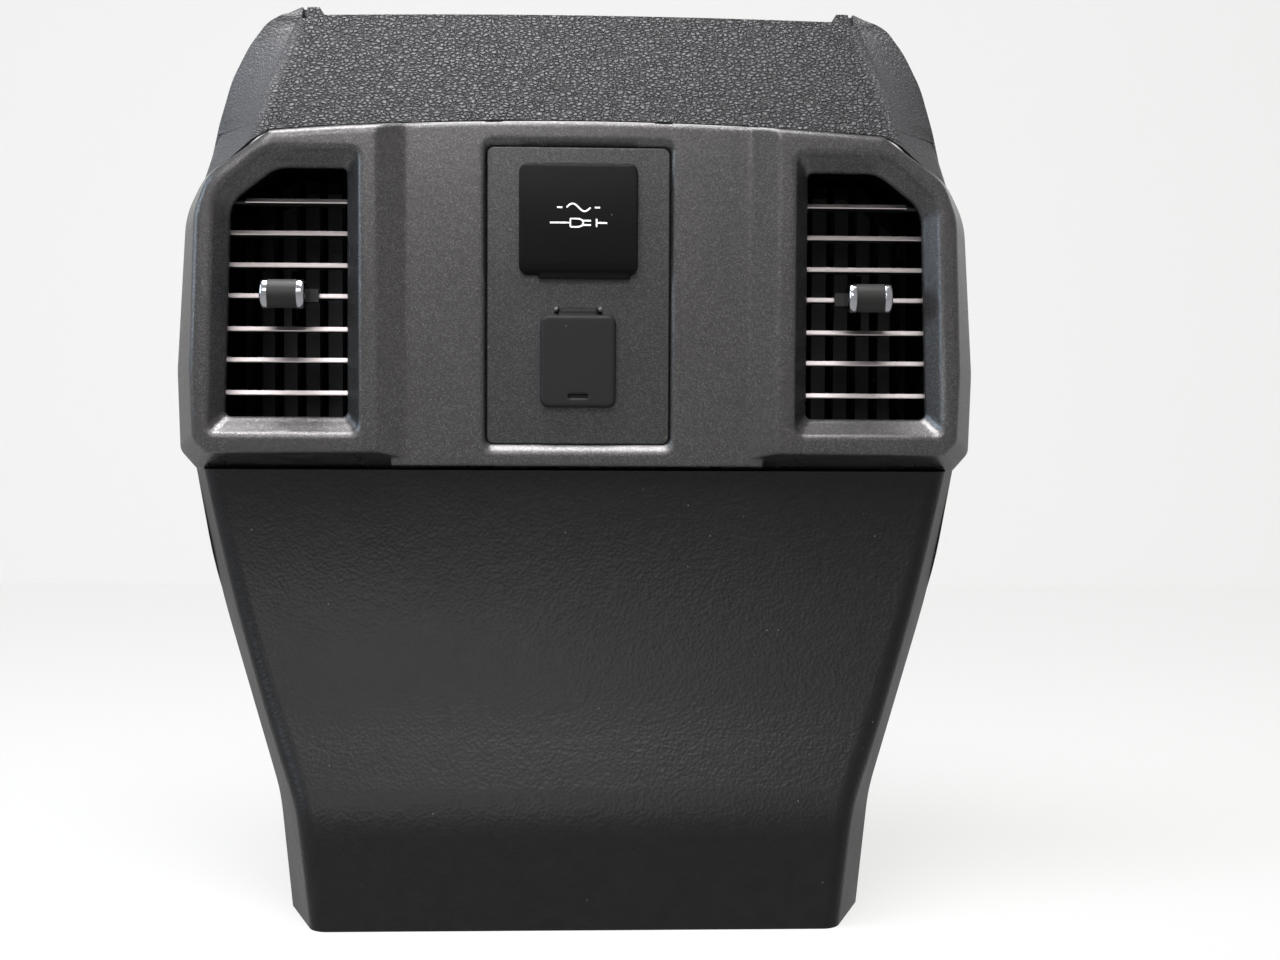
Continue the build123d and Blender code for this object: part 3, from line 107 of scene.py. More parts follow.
# Use: dust specks by cells per metre, radius in a cell and share of empty cells, and rubbed places
SPECK_SCALE, SPECK_RADIUS, SPECK_EMPTY = 210.0, 0.055, 0.9
RUB_SCALE = 28.0


@dataclass
class ShaderGroup:
    """A shader node group under construction.

    Attributes:
        name: Name of the group in the node tree list.
        inputs: Names and default values of the group's number inputs.
        outputs: Names of the group's outputs, all of them numbers.
    """

    name: str
    inputs: dict[str, float]
    outputs: tuple[str, ...]
    tree: bpy.types.ShaderNodeTree = field(init=False)
    entry: bpy.types.Node = field(init=False)
    leave: bpy.types.Node = field(init=False)

    def __post_init__(self) -> None:
        """Make the empty group with its sockets."""
        self.tree = bpy.data.node_groups.new(self.name, "ShaderNodeTree")
        self.tree.interface.new_socket("Vector", in_out="INPUT", socket_type="NodeSocketVector")
        for name, value in self.inputs.items():
            socket = self.tree.interface.new_socket(
                name, in_out="INPUT", socket_type="NodeSocketFloat")
            socket.default_value = value
        for name in self.outputs:
            self.tree.interface.new_socket(name, in_out="OUTPUT", socket_type="NodeSocketFloat")
        self.entry = self.tree.nodes.new("NodeGroupInput")
        self.leave = self.tree.nodes.new("NodeGroupOutput")

    def node(self, kind: str, **settings: object) -> bpy.types.Node:
        """Add a node.

        Args:
            kind: Blender's name of the node type.
            settings: Attributes to set on the node.

        Returns:
            The new node.
        """
        made = self.tree.nodes.new(kind)
        for name, value in settings.items():
            setattr(made, name, value)
        return made

    def link(self, source: bpy.types.NodeSocket, target: bpy.types.NodeSocket) -> None:
        """Join two sockets."""
        self.tree.links.new(source, target)

    def math(self, operation: str, first: object, second: object = 0.0) -> bpy.types.NodeSocket:
        """Add a math node fed by sockets or plain numbers.

        Args:
            operation: Blender's name of the operation.
            first: Socket or number of the first input.
            second: Socket or number of the second input.

        Returns:
            The node's output socket.
        """
        made = self.node("ShaderNodeMath", operation=operation)
        for index, value in enumerate((first, second)):
            if isinstance(value, bpy.types.NodeSocket):
                self.link(value, made.inputs[index])
            else:
                made.inputs[index].default_value = float(value)
        return made.outputs[0]

    def noise(self, scale: float, detail: float,
              vector: bpy.types.NodeSocket) -> bpy.types.NodeSocket:
        """Add a noise texture.

        Args:
            scale: Cells per metre.
            detail: Octaves of finer noise.
            vector: Socket with the place to sample.

        Returns:
            The noise's value socket.
        """
        made = self.node("ShaderNodeTexNoise")
        made.inputs["Scale"].default_value = scale
        made.inputs["Detail"].default_value = detail
        self.link(vector, made.inputs["Vector"])
        return made.outputs["Fac"]


def build_leather_grain() -> ShaderGroup:
    """Make the coarse grain of the upper cover: small domed pebbles, wider than they are tall.

    Returns:
        The group, with the height of the grain and a mask of its raised parts that leaves painted
        shade in the creases.
    """
    group = ShaderGroup("leather_grain", {"Cell": 700.0}, ("Height", "Mask"))
    place = group.entry.outputs["Vector"]
    warp = group.node("ShaderNodeTexNoise")
    warp.inputs["Scale"].default_value = WARP_SCALE
    warp.inputs["Detail"].default_value = 3.0
    group.link(place, warp.inputs["Vector"])
    pull = group.node("ShaderNodeVectorMath", operation="MULTIPLY_ADD")
    pull.inputs[1].default_value = WARP_PULL
    group.link(warp.outputs["Color"], pull.inputs[0])
    group.link(place, pull.inputs[2])
    squash = group.node("ShaderNodeVectorMath", operation="MULTIPLY")
    squash.inputs[1].default_value = PEBBLE_SQUASH
    group.link(pull.outputs[0], squash.inputs[0])
    distances = []
    for feature in ("F1", "DISTANCE_TO_EDGE"):
        cells = group.node("ShaderNodeTexVoronoi", feature=feature)
        group.link(squash.outputs[0], cells.inputs["Vector"])
        group.link(group.entry.outputs["Cell"], cells.inputs["Scale"])
        distances.append(cells.outputs["Distance"])
    to_middle, to_edge = distances
    dome = group.math("SUBTRACT", 1.0, group.math("POWER", to_middle, 2.0))
    crease = group.node("ShaderNodeMapRange", interpolation_type="SMOOTHSTEP")
    crease.inputs["From Max"].default_value = CREASE_WIDTH
    group.link(to_edge, crease.inputs["Value"])
    pebbles = group.math("MULTIPLY", dome, crease.outputs["Result"])
    swell = group.math("MULTIPLY", group.noise(SWELL_SCALE, 2.0, place), SWELL_SHARE)
    pores = group.math("MULTIPLY", group.noise(PORE_SCALE, 1.0, place), PORE_SHARE)
    relief = group.math("ADD", group.math("ADD", pebbles, swell), pores)
    parts = group.node("ShaderNodeSeparateXYZ")
    group.link(place, parts.inputs["Vector"])
    lean = group.math("MULTIPLY", group.math("SUBTRACT", parts.outputs["Z"], WING_Z), WING_LEAN)
    reach = group.math("ADD", group.math("ABSOLUTE", parts.outputs["X"]), lean)
    front = group.node("ShaderNodeMapRange", interpolation_type="SMOOTHSTEP")
    front.inputs["From Min"].default_value = WING_X
    front.inputs["From Max"].default_value = WING_X + WING_FADE
    front.inputs["To Min"].default_value = 1.0
    front.inputs["To Max"].default_value = WING_RELIEF
    group.link(reach, front.inputs["Value"])
    height = group.math("MULTIPLY", relief, front.outputs["Result"])
    group.link(height, group.leave.inputs["Height"])
    # The mask puts painted shade in the creases and on the sides of the pebbles; the wings stay at
    # full colour
    calm = group.math("SUBTRACT", 1.0, front.outputs["Result"])
    group.link(group.math("MAXIMUM", pebbles, calm), group.leave.inputs["Mask"])
    return group


def build_fine_grain() -> ShaderGroup:
    """Make the shallow fine grain of the lower panel.

    Returns:
        The group, with the height of the grain and a mask of its raised parts.
    """
    group = ShaderGroup("fine_grain", {"Cell": 620.0}, ("Height", "Mask"))
    place = group.entry.outputs["Vector"]
    cells = group.node("ShaderNodeTexVoronoi", feature="SMOOTH_F1")
    cells.inputs["Smoothness"].default_value = CELL_SOFTNESS
    group.link(place, cells.inputs["Vector"])
    group.link(group.entry.outputs["Cell"], cells.inputs["Scale"])
    folds = group.noise(FOLD_SCALE, 3.0, place)
    rise = group.math("MULTIPLY", folds, FOLD_SHARE)
    mixed = group.math("ADD", cells.outputs["Distance"], rise)
    group.link(mixed, group.leave.inputs["Height"])
    group.link(folds, group.leave.inputs["Mask"])
    return group


def build_paint_flake() -> ShaderGroup:
    """Make the sparkle of the metallic paint on bezel and plate.

    Returns:
        The group, with a slight orange peel height and a mask of single flakes.
    """
    group = ShaderGroup("paint_flake", {"Cell": 2600.0}, ("Height", "Mask"))
    place = group.entry.outputs["Vector"]
    flakes = group.node("ShaderNodeTexVoronoi", feature="F1")
    group.link(place, flakes.inputs["Vector"])
    group.link(group.entry.outputs["Cell"], flakes.inputs["Scale"])
    parts = group.node("ShaderNodeSeparateColor")
    group.link(flakes.outputs["Color"], parts.inputs["Color"])
    peel = group.noise(PEEL_SCALE, 2.0, place)
    tilt = group.math("MULTIPLY", parts.outputs[1], FLAKE_TILT)
    group.link(group.math("ADD", peel, tilt), group.leave.inputs["Height"])
    shine = group.math("POWER", parts.outputs[0], FLAKE_RARITY)
    group.link(shine, group.leave.inputs["Mask"])
    return group


def build_moulding_skin() -> ShaderGroup:
    """Make the faint skin of plain moulded plastic.

    Returns:
        The group, with the height of the skin and a slow mottle mask.
    """
    group = ShaderGroup("moulding_skin", {"Cell": 1500.0}, ("Height", "Mask"))
    place = group.entry.outputs["Vector"]
    skin = group.node("ShaderNodeTexNoise")
    skin.inputs["Detail"].default_value = 2.0
    group.link(place, skin.inputs["Vector"])
    group.link(group.entry.outputs["Cell"], skin.inputs["Scale"])
    group.link(skin.outputs["Fac"], group.leave.inputs["Height"])
    group.link(group.noise(MOTTLE_SCALE, 3.0, place), group.leave.inputs["Mask"])
    return group


def build_nose_highlight() -> ShaderGroup:
    """Make a blade's skin, with a band of painted highlight along its front edge.

    Returns:
        The group, with the height of the skin and a mask of the painted highlight on the edge.
    """
    group = ShaderGroup("nose_highlight", {"Cell": 1500.0}, ("Height", "Mask"))
    place = group.entry.outputs["Vector"]
    skin = group.node("ShaderNodeTexNoise")
    group.link(place, skin.inputs["Vector"])
    group.link(group.entry.outputs["Cell"], skin.inputs["Scale"])
    group.link(skin.outputs["Fac"], group.leave.inputs["Height"])
    parts = group.node("ShaderNodeSeparateXYZ")
    group.link(place, parts.inputs["Vector"])
    # In front of NOSE_BACK_Y the blade takes a light pinkish metal colour: painted highlight
    nose = group.math("LESS_THAN", parts.outputs["Y"], NOSE_BACK_Y)
    group.link(nose, group.leave.inputs["Mask"])
    return group


def build_handling() -> ShaderGroup:
    """Make the dust and rubbed places that use leaves on a part.

    Returns:
        The group, with a mask of dust specks and a slow mask of rubbed places.
    """
    group = ShaderGroup("handling", {"Dust": 0.5}, ("Specks", "Rub"))
    place = group.entry.outputs["Vector"]
    specks = group.node("ShaderNodeTexVoronoi", feature="F1")
    specks.inputs["Scale"].default_value = SPECK_SCALE
    group.link(place, specks.inputs["Vector"])
    near = group.math("LESS_THAN", specks.outputs["Distance"], SPECK_RADIUS)
    parts = group.node("ShaderNodeSeparateColor")
    group.link(specks.outputs["Color"], parts.inputs["Color"])
    rare = group.math("GREATER_THAN", parts.outputs[0], SPECK_EMPTY)
    speck = group.math("MULTIPLY", near, rare)
    shown = group.math("MULTIPLY", speck, group.entry.outputs["Dust"])
    group.link(shown, group.leave.inputs["Specks"])
    group.link(group.noise(RUB_SCALE, 4.0, place), group.leave.inputs["Rub"])
    return group


# ---------------------------------------------------------------- finishes

DUST_COLOUR = (0.32, 0.31, 0.3)

# Readings of the rub mask between which a surface goes from its finest to its roughest
RUB_FROM, RUB_TO = 0.3, 0.7

BEVEL_SAMPLES = 6


@dataclass(frozen=True)
class Finish:
    """One moulded, painted or plated finish.

    Attributes:
        name: Name of the material.
        base: Colour where the pattern's mask is full, linear; painted highlight on the blades'
            front edges.
        shade: Colour where the mask is empty, such as creases, linear; painted shade in the
            leather grain.
        roughness: Least roughness of the surface.
        spread: How much rougher the surface gets from place to place.
        metallic: Share of metal in the paint or plating.
        masked_metal: Whether only the masked part is metal.
        rounding: Radius by which the shading softens the edges, in metres.
        pattern: Structure of the surface.
        cell: Cells of the structure per metre.
        depth: Height of the structure, in metres.
        dust: How strongly dust specks show.
        gloss: Specular level of the plastic, 0.5 for a plain polished one.
        sheen: Weight of a soft fibre sheen.
    """

    name: str
    base: Colour
    shade: Colour
    roughness: float
    spread: float = 0.1
    metallic: float = 0.0
    masked_metal: bool = False
    rounding: float = 0.0
    pattern: Pattern = Pattern.SATIN
    cell: float = 1500.0
    depth: float = 0.00002
    dust: float = 0.35
    gloss: float = 0.5
    sheen: float = 0.0

    def build(self, groups: dict[str, ShaderGroup]) -> bpy.types.Material:
        """Make the material.

        Args:
            groups: The shader groups by name.

        Returns:
            The new material.
        """
        material = bpy.data.materials.new(self.name)
        material.use_nodes = True
        tree = material.node_tree
        shader = tree.nodes["Principled BSDF"]
        place = tree.nodes.new("ShaderNodeTexCoord")
        surface = tree.nodes.new("ShaderNodeGroup")
        surface.node_tree = groups[self.pattern.value].tree
        surface.inputs["Cell"].default_value = self.cell
        handling = tree.nodes.new("ShaderNodeGroup")
        handling.node_tree = groups["handling"].tree
        handling.inputs["Dust"].default_value = self.dust
        for group in (surface, handling):
            tree.links.new(place.outputs["Object"], group.inputs["Vector"])

        colours = tree.nodes.new("ShaderNodeMix")
        colours.data_type = "RGBA"
        colours.inputs["A"].default_value = (*self.shade, 1.0)
        colours.inputs["B"].default_value = (*self.base, 1.0)
        tree.links.new(surface.outputs["Mask"], colours.inputs["Factor"])
        dusty = tree.nodes.new("ShaderNodeMix")
        dusty.data_type = "RGBA"
        dusty.inputs["B"].default_value = (*DUST_COLOUR, 1.0)
        tree.links.new(handling.outputs["Specks"], dusty.inputs["Factor"])
        tree.links.new(colours.outputs["Result"], dusty.inputs["A"])
        tree.links.new(dusty.outputs["Result"], shader.inputs["Base Color"])

        rough = tree.nodes.new("ShaderNodeMapRange")
        rough.inputs["From Min"].default_value = RUB_FROM
        rough.inputs["From Max"].default_value = RUB_TO
        rough.inputs["To Min"].default_value = self.roughness
        rough.inputs["To Max"].default_value = min(1.0, self.roughness + self.spread)
        tree.links.new(handling.outputs["Rub"], rough.inputs["Value"])
        tree.links.new(rough.outputs["Result"], shader.inputs["Roughness"])

        bump = tree.nodes.new("ShaderNodeBump")
        bump.inputs["Distance"].default_value = self.depth
        tree.links.new(surface.outputs["Height"], bump.inputs["Height"])
        tree.links.new(bump.outputs["Normal"], shader.inputs["Normal"])
        if self.rounding:
            edges = tree.nodes.new("ShaderNodeBevel")
            edges.samples = BEVEL_SAMPLES
            edges.inputs["Radius"].default_value = self.rounding
            tree.links.new(edges.outputs["Normal"], bump.inputs["Normal"])

        shader.inputs["Metallic"].default_value = self.metallic
        if self.masked_metal:
            tree.links.new(surface.outputs["Mask"], shader.inputs["Metallic"])
        shader.inputs["Specular IOR Level"].default_value = self.gloss
        shader.inputs["Sheen Weight"].default_value = self.sheen
        return material


FINISHES = (
    # The cover's near-black shade colour is painted shade in the grain's creases and on the
    # pebbles' sides
    Finish("cover_leather_grain_crease_shade", (0.046, 0.0445, 0.048), (0.002, 0.002, 0.0025), 0.36,
           pattern=Pattern.LEATHER, cell=700.0, depth=0.0008, dust=0.1, gloss=0.22),
    Finish("panel_fine_grain", (0.0085, 0.0079, 0.0083), (0.0045, 0.0042, 0.0045), 0.38, 0.06,
           pattern=Pattern.FINE, cell=700.0, depth=0.00014, dust=0.3, gloss=0.1),
    Finish("bezel_satin_paint", (0.1, 0.096, 0.098), (0.044, 0.0422, 0.043), 0.26, 0.04,
           metallic=0.8, rounding=0.003, pattern=Pattern.FLAKE, cell=2600.0, depth=0.000014,
           dust=0.25),
    Finish("plate_satin_paint", (0.072, 0.072, 0.0745), (0.031, 0.031, 0.032), 0.28, 0.04,
           metallic=0.8, rounding=0.0008, pattern=Pattern.FLAKE, cell=2600.0, depth=0.000012,
           dust=0.8),
    # The blades' front edges take a light pinkish metal band: painted highlight of the lamps on
    # them
    Finish("blade_black_nose_highlight", (0.26, 0.235, 0.235), (0.012, 0.0115, 0.012), 0.42, 0.06,
           masked_metal=True, pattern=Pattern.NOSE, depth=0.000004),
    # Near black: painted shade on the parts that lie behind the blades
    Finish("vent_inside_painted_shade", (0.0008, 0.0008, 0.0008), (0.0006, 0.0006, 0.0006), 0.8, gloss=0.05),
    Finish("flap_black", (0.004, 0.0037, 0.004), (0.003, 0.0028, 0.003), 0.34, 0.08,
           rounding=0.0018, depth=0.000012, gloss=0.05),
    Finish("cap_soft_black", (0.0085, 0.008, 0.0088), (0.006, 0.006, 0.0064), 0.46,
           rounding=0.0018, depth=0.000015, gloss=0.14),
    Finish("knob_soft_black", (0.01, 0.0095, 0.009), (0.007, 0.007, 0.0065), 0.42, gloss=0.2),
    Finish("knob_chrome", (0.3, 0.3, 0.32), (0.26, 0.26, 0.28), 0.08, 0.05, metallic=1.0,
           rounding=0.0008, depth=0.000002, dust=0.1),
    Finish("outlet_black", (0.03, 0.03, 0.03), (0.02, 0.02, 0.02), 0.5),
    Finish("socket_nickel", (0.62, 0.61, 0.58), (0.48, 0.47, 0.45), 0.28, 0.12, metallic=1.0,
           depth=0.00001),
    Finish("contact_brass", (0.72, 0.55, 0.27), (0.5, 0.38, 0.2), 0.3, 0.15, metallic=1.0),
    Finish("nut_black", (0.028, 0.028, 0.028), (0.02, 0.02, 0.02), 0.5),
    Finish("frame_black", (0.034, 0.034, 0.036), (0.022, 0.022, 0.023), 0.55, 0.15,
           cell=700.0, depth=0.00004, dust=0.6),
    Finish("duct_black", (0.03, 0.03, 0.032), (0.02, 0.02, 0.021), 0.48, 0.18,
           cell=420.0, depth=0.00006, dust=0.6),
    Finish("seal_foam", (0.045, 0.045, 0.048), (0.016, 0.016, 0.017), 0.95, 0.05,
           cell=1100.0, depth=0.0005, dust=0.0, sheen=0.3),
    Finish("pin_steel", (0.58, 0.57, 0.55), (0.45, 0.44, 0.43), 0.3, metallic=1.0),
    Finish("screw_black_zinc", (0.09, 0.09, 0.1), (0.05, 0.05, 0.055), 0.4, 0.15, metallic=0.8),
    Finish("print_white", (0.72, 0.72, 0.72), (0.6, 0.6, 0.6), 0.55, depth=0.000004, dust=0.0),
)

FINISH_OF_SLOT = {
    "cover_grain": "cover_leather_grain_crease_shade",
    "panel_grain": "panel_fine_grain",
    "bezel_grey": "bezel_satin_paint",
    "plate_grey": "plate_satin_paint",
    "vent_black": "blade_black_nose_highlight",
    "flap_black": "flap_black",
    "cap_rubber": "cap_soft_black",
    "knob_black": "knob_soft_black",
    "knob_chrome": "knob_chrome",
    "outlet_black": "outlet_black",
    "socket_metal": "socket_nickel",
    "socket_insert": "contact_brass",
    "nut_black": "nut_black",
    "frame_black": "frame_black",
    "duct_black": "duct_black",
    "seal_foam": "seal_foam",
    "pin_steel": "pin_steel",
    "screw_steel": "screw_black_zinc",
}

# Ends of the names of the CAD nodes that lie in the dark behind the blades, coloured near black as
# painted shade
SHADED_INSIDE = ("_vent_housing", "_vane_1", "_vane_2", "_vane_3", "_vane_4", "_vane_5",
               "_vane_link", "_blade_link")


@dataclass
class Wardrobe:
    """All finishes of the part, and the CAD nodes dressed in them."""

    materials: dict[str, bpy.types.Material] = field(default_factory=dict)

    def build(self) -> None:
        """Make the shader groups and then the materials."""
        makers = (build_leather_grain, build_fine_grain, build_paint_flake, build_moulding_skin,
                  build_nose_highlight, build_handling)
        groups = {group.name: group for group in (make() for make in makers)}
        for finish in FINISHES:
            self.materials[finish.name] = finish.build(groups)

    def dress(self, piece: bpy.types.Object, finish: str) -> None:
        """Give a piece one finish all over.

        Args:
            piece: The object to dress.
            finish: Name of the finish.
        """
        piece.data.materials.clear()
        piece.data.materials.append(self.materials[finish])

    def dress_frame(self) -> None:
        """Dress each CAD node by the material slot that the record gives it."""
        for entry in frame["record"]["subparts"]:
            finish = FINISH_OF_SLOT[entry["material_slot"]]
            if entry["node"].endswith(SHADED_INSIDE):
                # These parts are coloured near black: painted shade
                finish = "vent_inside_painted_shade"
            node = frame["nodes"][entry["node"]]
            self.dress(node, finish)
            LOG.info("node %s wears %s", entry["node"], finish)


# ---------------------------------------------------------------- modelling helpers


def deselect_all() -> None:
    """Leave nothing selected and no object in edit mode."""
    if bpy.context.object and bpy.context.object.mode != "OBJECT":
        bpy.ops.object.mode_set(mode="OBJECT")
    bpy.ops.object.select_all(action="DESELECT")


def settle(piece: bpy.types.Object, name: str) -> bpy.types.Object:
    """Name a new piece and move its place into its mesh.

    Args:
        piece: The object, active and selected alone.
        name: Name for the object and its mesh.

    Returns:
        The same object.
    """
    bpy.ops.object.transform_apply(location=True, rotation=True, scale=True)
    piece.name = name
    piece.data.name = name
    return piece


# ---------------------------------------------------------------- wing skins of the upper cover

# Places, in metres, from which the cover's surface is felt: before its front, beside its side
# wall, and on the flat of its front
BEFORE_Y, BESIDE_X, FRONT_X = -0.2, 0.25, 0.1

# Steps by which the start of a wing is looked for, inwards from the side wall
SCAN_STEPS, SCAN_PITCH = 160, 0.25 * MM

# How far inside the side wall the cover's front edge is felt, and the skin turns its corner
FEEL_INSET, CORNER_INSET = 0.3 * MM, 0.4 * MM


@dataclass
class WingSkin:
    """Moulded skin of one wing of the upper cover, from the crease of its front to its side.

    Attributes:
        side: The side that the wing is on.
        low_z: Height at which the skin leaves the cover's own surface.
        high_z: Height at which it ends under the cover's top.
        blend: Height over which it leaves and joins the cover's surface.
        levels: Rows of the skin.
        columns: Points from the crease to the outer edge.
        side_y: Place in depth where the cover's side wall is measured.
        crease_depth: How far the cover has turned back where the skin starts.
        proud: How far the skin stands off the cover.
        wrap: How far the skin runs back along the side.
        wall: Thickness of the skin.
        smooth: Angle up to which the skin's faces are shaded as one.
    """

    side: Side
    low_z: float = 328.0 * MM
    high_z: float = 380.0 * MM
    blend: float = 7.0 * MM
    levels: int = 40
    columns: int = 18
    side_y: float = 20.0 * MM
    crease_depth: float = 1.2 * MM
    proud: float = 0.12 * MM
    wrap: float = 5.0 * MM
    wall: float = 0.9 * MM
    smooth: float = math.radians(40)

    def depth(self, cover: BVHTree, x: float, z: float) -> float:
        """Measure how deep the cover's surface lies behind a place in front of it.

        Args:
            cover: The cover's surface.
            x: Distance from the middle.
            z: Height.

        Returns:
            The surface's Y, and no more than that of the wing's open end.
        """
        origin = Vector((self.side.value * x, BEFORE_Y, z))
        hit = cover.ray_cast(origin, Vector((0.0, 1.0, 0.0)))[0]
        return min(hit.y, 0.0) if hit else 0.0

    def row(self, cover: BVHTree, z: float) -> list[Point]:
        """Lay one level of the skin.

        Args:
            cover: The cover's surface.
            z: Height of the level.

        Returns:
            The level's points, from the crease to the end of the wrapped side.
        """
        sign = self.side.value
        origin = Vector((sign * BESIDE_X, self.side_y, z))
        edge_x = abs(cover.ray_cast(origin, Vector((-sign, 0.0, 0.0)))[0].x)
        front_y = self.depth(cover, FRONT_X, z)
        scan = [edge_x - (SCAN_STEPS - step) * SCAN_PITCH for step in range(SCAN_STEPS)]
        turned = [x for x in scan if self.depth(cover, x, z) - front_y > self.crease_depth]
        start_x = min(turned, default=edge_x - MM)
        start_y = self.depth(cover, start_x, z)
        edge_y = self.depth(cover, edge_x - FEEL_INSET, z)
        near = min(z - self.low_z, self.high_z - z) / self.blend
        lift = max(0.0, min(1.0, near))
        lift = lift * lift * (3 - 2 * lift)
        points = []
        for index in range(self.columns):
            share = index / (self.columns - 1)
            x = start_x + (edge_x - CORNER_INSET - start_x) * share
            straight = start_y + (edge_y - start_y) * share
            own = self.depth(cover, x, z)
            points.append((sign * x, own + (min(straight, own) - own) * lift - self.proud, z))
        for back in (CORNER_INSET, 0.5 * self.wrap, self.wrap):
            points.append((sign * (edge_x + self.proud), edge_y + back, z))
        return points

    def build(self, wardrobe: Wardrobe) -> None:
        """Make the skin from a grid laid on the cover, and give it its thickness.

        Args:
            wardrobe: The finishes to dress it in.
        """
        mesh = frame["nodes"]["upper_cover"].data
        cover = BVHTree.FromPolygons([vertex.co for vertex in mesh.vertices],
                                     [tuple(face.vertices) for face in mesh.polygons])
        tall = self.high_z - self.low_z
        rows = [self.row(cover, self.low_z + tall * level / (self.levels - 1))
                for level in range(self.levels)]
        name = f"{self.side.prefix}_wing_skin"
        across = len(rows[0])
        deselect_all()
        bpy.ops.mesh.primitive_grid_add(
            x_subdivisions=across - 1, y_subdivisions=self.levels - 1, size=1.0)
        skin = bpy.context.object
        for vertex in skin.data.vertices:
            column = round((vertex.co.x + 0.5) * (across - 1))
            level = round((vertex.co.y + 0.5) * (self.levels - 1))
            vertex.co = rows[level][column]
        if self.side is Side.LEFT:
            bpy.ops.object.mode_set(mode="EDIT")
            bpy.ops.mesh.select_all(action="SELECT")
            bpy.ops.mesh.flip_normals()
            bpy.ops.object.mode_set(mode="OBJECT")
        solid = skin.modifiers.new("wall", "SOLIDIFY")
        solid.thickness = self.wall
        solid.offset = -1.0
        bpy.ops.object.modifier_apply(modifier=solid.name)
        bpy.ops.object.shade_smooth_by_angle(angle=self.smooth)
        settle(skin, name)
        wardrobe.dress(skin, "cover_leather_grain_crease_shade")
        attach(skin, "root")
        LOG.info("piece %s laid", name)


# ---------------------------------------------------------------- the outlet's flap


@dataclass
class OutletFlap:
    """Hinged flap of the mains outlet, with the round corners of its moulding.

    Attributes:
        half_x: Half width of the trimming form, just outside the flap.
        low_z: Foot of the trimming form, below the flap.
        high_z: Top of the trimming form, at the top of the hinge barrel.
        corner: Radius of the flap's upper corners.
        corner_steps: Straight steps that a corner is made of.
        middle_y: Middle of the trimming form from front to back.
        deep: Size of the trimming form from front to back.
        weld: Distance within which points of the copied mesh are merged.
        smooth: Angle up to which the flap's faces are shaded as one.
    """

    half_x: float = 25.05 * MM
    low_z: float = 255.0 * MM
    high_z: float = 313.05 * MM
    corner: float = 5.0 * MM
    corner_steps: int = 8
    middle_y: float = -30.0 * MM
    deep: float = 40.0 * MM
    weld: float = 0.001 * MM
    smooth: float = math.radians(30)

    def trimming_form(self) -> bpy.types.Object:
        """Make the block with round upper corners that the flap is trimmed to.

        Returns:
            The block.
        """
        deselect_all()
        middle = (0.0, self.middle_y, (self.low_z + self.high_z) / 2)
        bpy.ops.mesh.primitive_cube_add(size=1.0, location=middle)
        form = bpy.context.object
        form.scale = (2 * self.half_x, self.deep, self.high_z - self.low_z)
        settle(form, "flap_form")
        bpy.ops.object.mode_set(mode="EDIT")
        bpy.ops.mesh.select_mode(type="EDGE")
        bpy.ops.mesh.select_all(action="DESELECT")
        bpy.ops.object.mode_set(mode="OBJECT")
        corners = form.data.vertices
        for edge in form.data.edges:
            ends = [corners[index].co for index in edge.vertices]
            upper = all(end.z > middle[2] for end in ends)
            edge.select = upper and abs(ends[0].y - ends[1].y) > MM
        bpy.ops.object.mode_set(mode="EDIT")
        bpy.ops.mesh.bevel(offset=self.corner, segments=self.corner_steps)
        bpy.ops.object.mode_set(mode="OBJECT")
        return form

    def build(self, wardrobe: Wardrobe) -> None:
        """Trim a copy of the CAD flap to its round corners.

        Args:
            wardrobe: The finishes to dress it in.
        """
        form = self.trimming_form()
        deselect_all()
        node = frame["nodes"]["ac_door"]
        mesh = bpy.data.meshes.new("outlet_flap")
        mesh.from_pydata([vertex.co[:] for vertex in node.data.vertices], [],
                         [tuple(face.vertices) for face in node.data.polygons])
        flap = bpy.data.objects.new("outlet_flap", mesh)
        bpy.context.collection.objects.link(flap)
        flap.select_set(True)
        bpy.context.view_layer.objects.active = flap
        bpy.ops.object.mode_set(mode="EDIT")
        bpy.ops.mesh.select_all(action="SELECT")
        bpy.ops.mesh.remove_doubles(threshold=self.weld)
        bpy.ops.object.mode_set(mode="OBJECT")
        trim = flap.modifiers.new("trim", "BOOLEAN")
        trim.operation = "INTERSECT"
        trim.solver = "EXACT"
        trim.object = form
        bpy.ops.object.modifier_apply(modifier=trim.name)
        bpy.data.objects.remove(form)
        bpy.ops.object.shade_smooth_by_angle(angle=self.smooth)
        settle(flap, "outlet_flap")
        wardrobe.dress(flap, "flap_black")
        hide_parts("ac_door")
        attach(flap, "ac_door")
        LOG.info("piece outlet_flap trimmed")


# ---------------------------------------------------------------- printed sign on the flap

# The low row of the sign, in millimetres: the plug's body, its cord and two pins, then the socket
PLUG_LINES = (
    ((-3.4, -1.7), (0.2, -1.7), (1.5, -1.2), (2.0, 0.0), (1.5, 1.2), (0.2, 1.7), (-3.4, 1.7),
     (-3.4, -1.7)),
    ((-12.0, 0.0), (-3.4, 0.0)),
    ((1.6, 0.9), (5.2, 0.9)),
    ((1.6, -0.9), (5.2, -0.9)),
    ((7.6, -1.7), (7.6, 1.7)),
    ((7.6, 0.0), (12.0, 0.0)),
)


